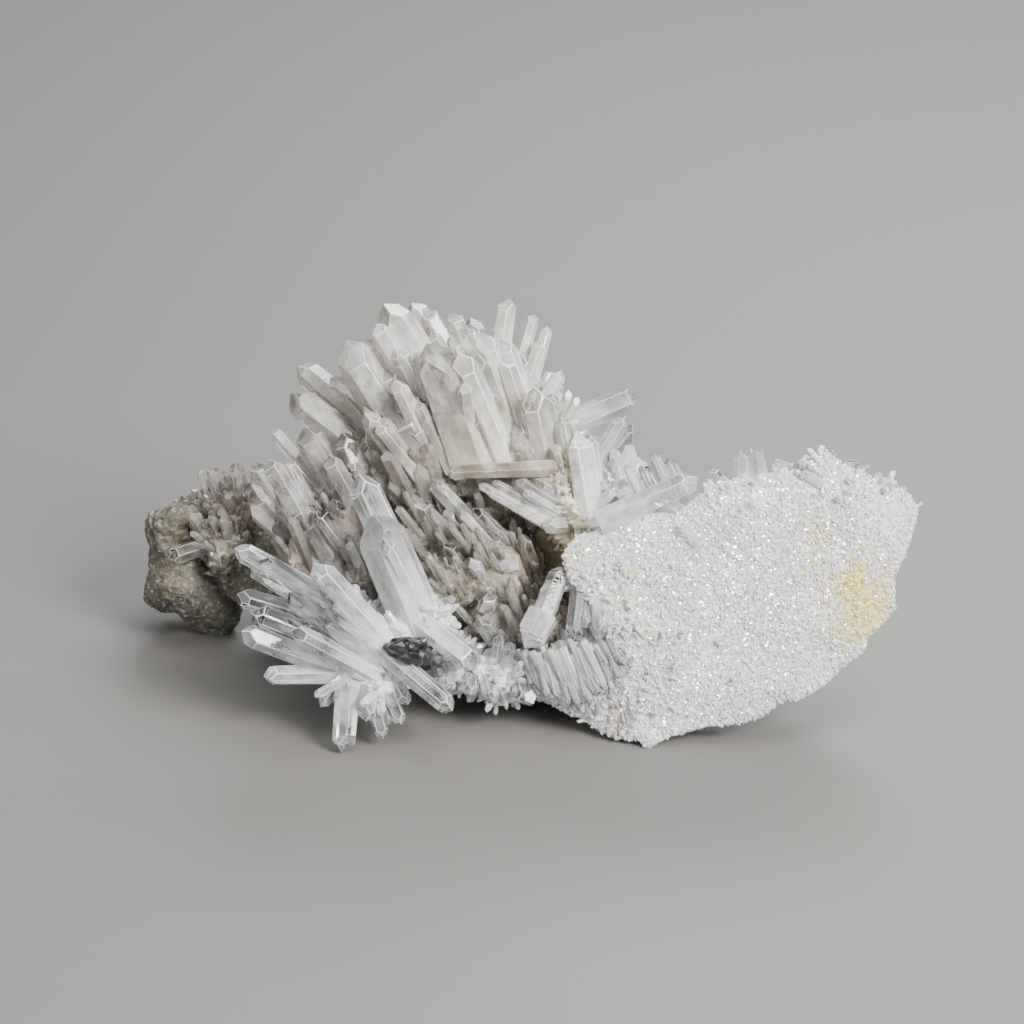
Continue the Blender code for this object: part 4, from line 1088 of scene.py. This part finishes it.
gully_druse = druse(gully_crust, "gully druse", 420, (0.5, 1.9), (4.0, 12.0), tilt=0.12, lean=toward(GULLY[1]) * 5,
                    sunk=0.5)
gully_young = between(GULLY, "young gully", 36, (0.4, 0.8), (0.4, 0.8))
shown(crystals(GULLY, "gully"), "gully_prisms", "gully_crystals", gully_quartz)
shown(gully_crust, "gully_crust", "gully_crystals", gully_brown)
placed(gully_druse, "gully_druse", "gully_crystals", gully_sprigs)
placed(gully_young, "gully_small_prisms", "gully_crystals", gully_quartz)


# The ragged lower edge between the spray and the slab, set with small glassy crystals.

LOWER_EDGE = [
    (-6.1, 8.2, -2, -8, 14, -8, 2.8),
    (-4.2, 8.3, -3, -5, 14, -9, 2.4),
    (0.6, 7.9, -4, -3, 12.5, -9, 3.2),
    (-2.0, 8.6, -3, -2, 14, -9, 2.4),
    (-10.0, 9.4, -2, -10, 15, -8, 2.6),
    (-14.5, 10.5, -2, -12, 15, -8, 2.4),
    (-5.0, 19.5, -3, -6, 13, -9, 2.2),
    (-1.3, 13.6, -2, -4.5, 11.5, -8, 1.8),
    (-10.5, 17.5, -1, -8, 13, -8, 2.4),
    (-3.0, 18.2, -3, -5, 12, -9, 2.2),
]
LOWER_EDGE_ROOTS = [(-5, 13.5, -12, 5, 7, 4, 0.3), (-11, 15, -11, 5, 7, 4, 0.3)]
lower_crust = crust(LOWER_EDGE_ROOTS)
lower_druse = druse(lower_crust, "lower druse", 650, (0.4, 1.3), (1.2, 4.0))
shown(crystals(LOWER_EDGE, "lower edge"), "lower_edge_prisms", "lower_edge_crystals", spray_quartz)
shown(lower_crust, "lower_edge_crust", "lower_edge_crystals", pale_crust)
placed(lower_druse, "lower_edge_druse", "lower_edge_crystals", spray_druse)


# The crystals behind the fan and on the slab's reverse. Shorter and closer together, grey-white.

REAR_ROOTS = [(-6, 47, 38, 14, 8, 11, 0.2), (8, 48, 27, 11, 8, 9, 0.2), (-23, 49, 29, 10, 8, 8, 0.2)]


def sprouts(name, middle, reach, facing, spread, count, lengths, widths):
    """Seeded crystals that grow out of a mass around a direction."""
    rng = random.Random(name)
    chances = random.Random(name + " chance")
    facing = Vector(facing).normalized()
    made = []
    for _ in range(count):
        side = Vector((rng.uniform(-1, 1), rng.uniform(-1, 1), rng.uniform(-1, 1))) * spread
        heading = (facing + side).normalized()
        foot = Vector(middle) + Vector(reach) * heading * 0.5
        tip = Vector(middle) + Vector(reach) * heading + heading * rng.uniform(*lengths)
        made.append(crystal(tip, foot, rng.uniform(*widths), rng, chances.random()))
    return made


top, right, left = (row[:3] for row in REAR_ROOTS)
rear = sprouts("rear top", top, (12, 7, 9), (-0.1, 0.8, 0.75), 0.75, 12, (8, 15), (3.4, 5.5))
rear += sprouts("rear right", right, (9, 7, 7), (0.6, 0.8, 0.6), 0.75, 7, (6, 12), (2.8, 4.2))
rear += sprouts("rear left", left, (8, 7, 6), (-0.5, 0.9, 0.5), 0.7, 6, (6, 12), (2.8, 4.4))
rear_quartz = quartz_finish("grey-white quartz of the rear", 0.5, 0.05, (0.86, 0.86, 0.85), (0.98, 0.98, 0.98),
                            (0.88, 0.87, 0.86), 100, veil=0.25)
rear_sprigs = sprig_finish("small crystals of the rear", (0.80, 0.79, 0.76), (0.92, 0.91, 0.90), 0.4)
rear_crust = fused([lump(Vector(row[:3]), row[3:6], row[6], 3) for row in REAR_ROOTS])
rear_druse = druse(rear_crust, "rear druse", 1500, (0.7, 2.2), (2.0, 7.0), tilt=0.3, lean=Vector((0, 0.5, 0.6)))
shown(joined(rear), "rear_prisms", "rear_crystals", rear_quartz)
shown(rear_crust, "rear_crust", "rear_crystals", fan_grey)
placed(rear_druse, "rear_druse", "rear_crystals", rear_sprigs)

slab_rear = sprouts("slab rear", spot(36, 27, -11), (14, 4, 9), (0, 0.95, 0.3), 0.8, 10, (3, 8), (2.4, 4.2))
slab_rear_crust = fused([lump(spot(36, 27, -11), (17, 6, 11), 0.15, 3)])
slab_rear_druse = druse(slab_rear_crust, "slab rear druse", 800, (0.6, 2.0), (1.5, 4.0))
shown(joined(slab_rear), "slab_rear_prisms", "slab_rear_crystals", rear_quartz)
shown(slab_rear_crust, "slab_rear_crust", "slab_rear_crystals", pale_crust)
placed(slab_rear_druse, "slab_rear_druse", "slab_rear_crystals", rear_sprigs)


# The crystals on the rough rock at the back left. Thin greyish spikes and a hazy clump in its hollow, whose brown is
# partly stain and partly painted shade.

KNOB = [
    (-60.6, 32.3, -29, -51, 35.5, -34, 3.0),
    (-50.9, 28.2, -34, -50.5, 35, -40, 1.9),
    (-55.1, 47.2, -42, -52, 38, -41, 1.8),
    (-53.6, 47.5, -40, -51, 38, -41, 1.8),
    (-52.3, 47.5, -43, -51, 38, -42, 1.8),
    (-51.0, 47.0, -41, -49.5, 38, -41, 1.8),
    (-49.0, 48.3, -38, -48, 38, -41, 2.8),
    (-52.4, 43.2, -37, -49, 38, -41, 2.2),
    (-46.5, 45.0, -38, -47, 37, -41, 2.6),
    (-54.5, 36.5, -33, -50, 37, -41, 2.4),
]
KNOB_ROOTS = [(-49.5, 35, -34, 5, 6, 5, 0.3), (-51, 39, -40, 4.5, 6, 4.5, 0.3)]
# The large brown patch in the hollow is partly stain, partly painted shade; the small ochre one is a stain.
KNOB_STAINS_AND_SHADE = [(spot(-47, 38, -36), 8, BROWN_STAIN_AND_SHADE, 0.75), (spot(-51.2, 33, -33), 1.2, OCHRE, 0.8)]
knob_quartz = quartz_finish("brownish quartz of the knob", 0.5, 0.05, (0.66, 0.62, 0.56), (0.96, 0.95, 0.93),
                            (0.82, 0.78, 0.72), 160, KNOB_STAINS_AND_SHADE, veil=0.2)
knob_sprigs = sprig_finish("small crystals of the knob", (0.38, 0.345, 0.28), (0.66, 0.62, 0.55), 0.65, KNOB_STAINS_AND_SHADE)
knob_brown = crust_finish("brown crust of the knob", (0.40, 0.36, 0.30), (0.22, 0.18, 0.14), KNOB_STAINS_AND_SHADE)
knob_crust = crust(KNOB_ROOTS)
knob_druse = druse(knob_crust, "knob druse", 300, (0.5, 1.8), (3.0, 8.0), tilt=0.25, lean=Vector((-0.2, -0.2, 1.6)),
                   sunk=0.5)
shown(crystals(KNOB, "knob"), "knob_prisms", "knob_crystals", knob_quartz)
shown(knob_crust, "knob_crust", "knob_crystals", knob_brown)
placed(knob_druse, "knob_druse", "knob_crystals", knob_sprigs)


# The floor, the soft light from the right and the camera, which looks down at the cluster from the front.

FLOOR_SIZE = 6.0
FOCAL_PIXELS = 2700.0
IMAGE_PIXELS = 1024.0
SENSOR = 36.0

floor_mesh = bmesh.new()
bmesh.ops.create_grid(floor_mesh, x_segments=1, y_segments=1, size=FLOOR_SIZE / 2)
floor_data = bpy.data.meshes.new("floor")
floor_mesh.to_mesh(floor_data)
floor_mesh.free()
floor = bpy.data.objects.new("floor", floor_data)
bpy.context.collection.objects.link(floor)
floor_finish, floor_tree, floor_shader = blank("pale table")
floor_shader.inputs["Base Color"].default_value = (0.175, 0.166, 0.155, 1)
floor_shader.inputs["Roughness"].default_value = 0.6
floor_data.materials.append(floor_finish)


def soft_light(name, place, aim, size, power, colour):
    data = bpy.data.lights.new(name, "AREA")
    data.shape = "RECTANGLE"
    data.size, data.size_y = size
    data.energy = power
    data.color = colour
    lamp = bpy.data.objects.new(name, data)
    lamp.location = place
    lamp.rotation_euler = (Vector(place) - Vector(aim)).to_track_quat("Z", "Y").to_euler()
    bpy.context.collection.objects.link(lamp)


AIM = (0, 0, 0.03)
soft_light("window", (0.70, -0.72, 0.72), AIM, (0.5, 0.5), 33.0, (1.0, 0.99, 0.98))
soft_light("sky", (0.25, -0.1, 1.1), AIM, (0.9, 0.5), 9.0, (0.98, 0.99, 1.0))
soft_light("fill", (-0.8, -0.5, 0.5), AIM, (0.3, 0.6), 2.5, (1.0, 0.97, 0.94))
soft_light("back", (0.3, 0.9, 0.7), AIM, (0.9, 0.4), 11.0, (0.98, 0.99, 1.0))

world = bpy.data.worlds.new("studio")
world.use_nodes = True
world.node_tree.nodes["Background"].inputs[0].default_value = (0.75, 0.78, 0.82, 1)
world.node_tree.nodes["Background"].inputs[1].default_value = 0.4
bpy.context.scene.world = world

camera_data = bpy.data.cameras.new("camera")
camera_data.sensor_width = SENSOR
camera_data.lens = FOCAL_PIXELS * SENSOR / IMAGE_PIXELS
camera_data.clip_start = 0.01
camera = bpy.data.objects.new("camera", camera_data)
camera.location = TO_FRAME @ EYE
camera.rotation_euler = (math.radians(90) - SHEET_LEAN, 0, 0)
bpy.context.collection.objects.link(camera)
bpy.context.scene.camera = camera
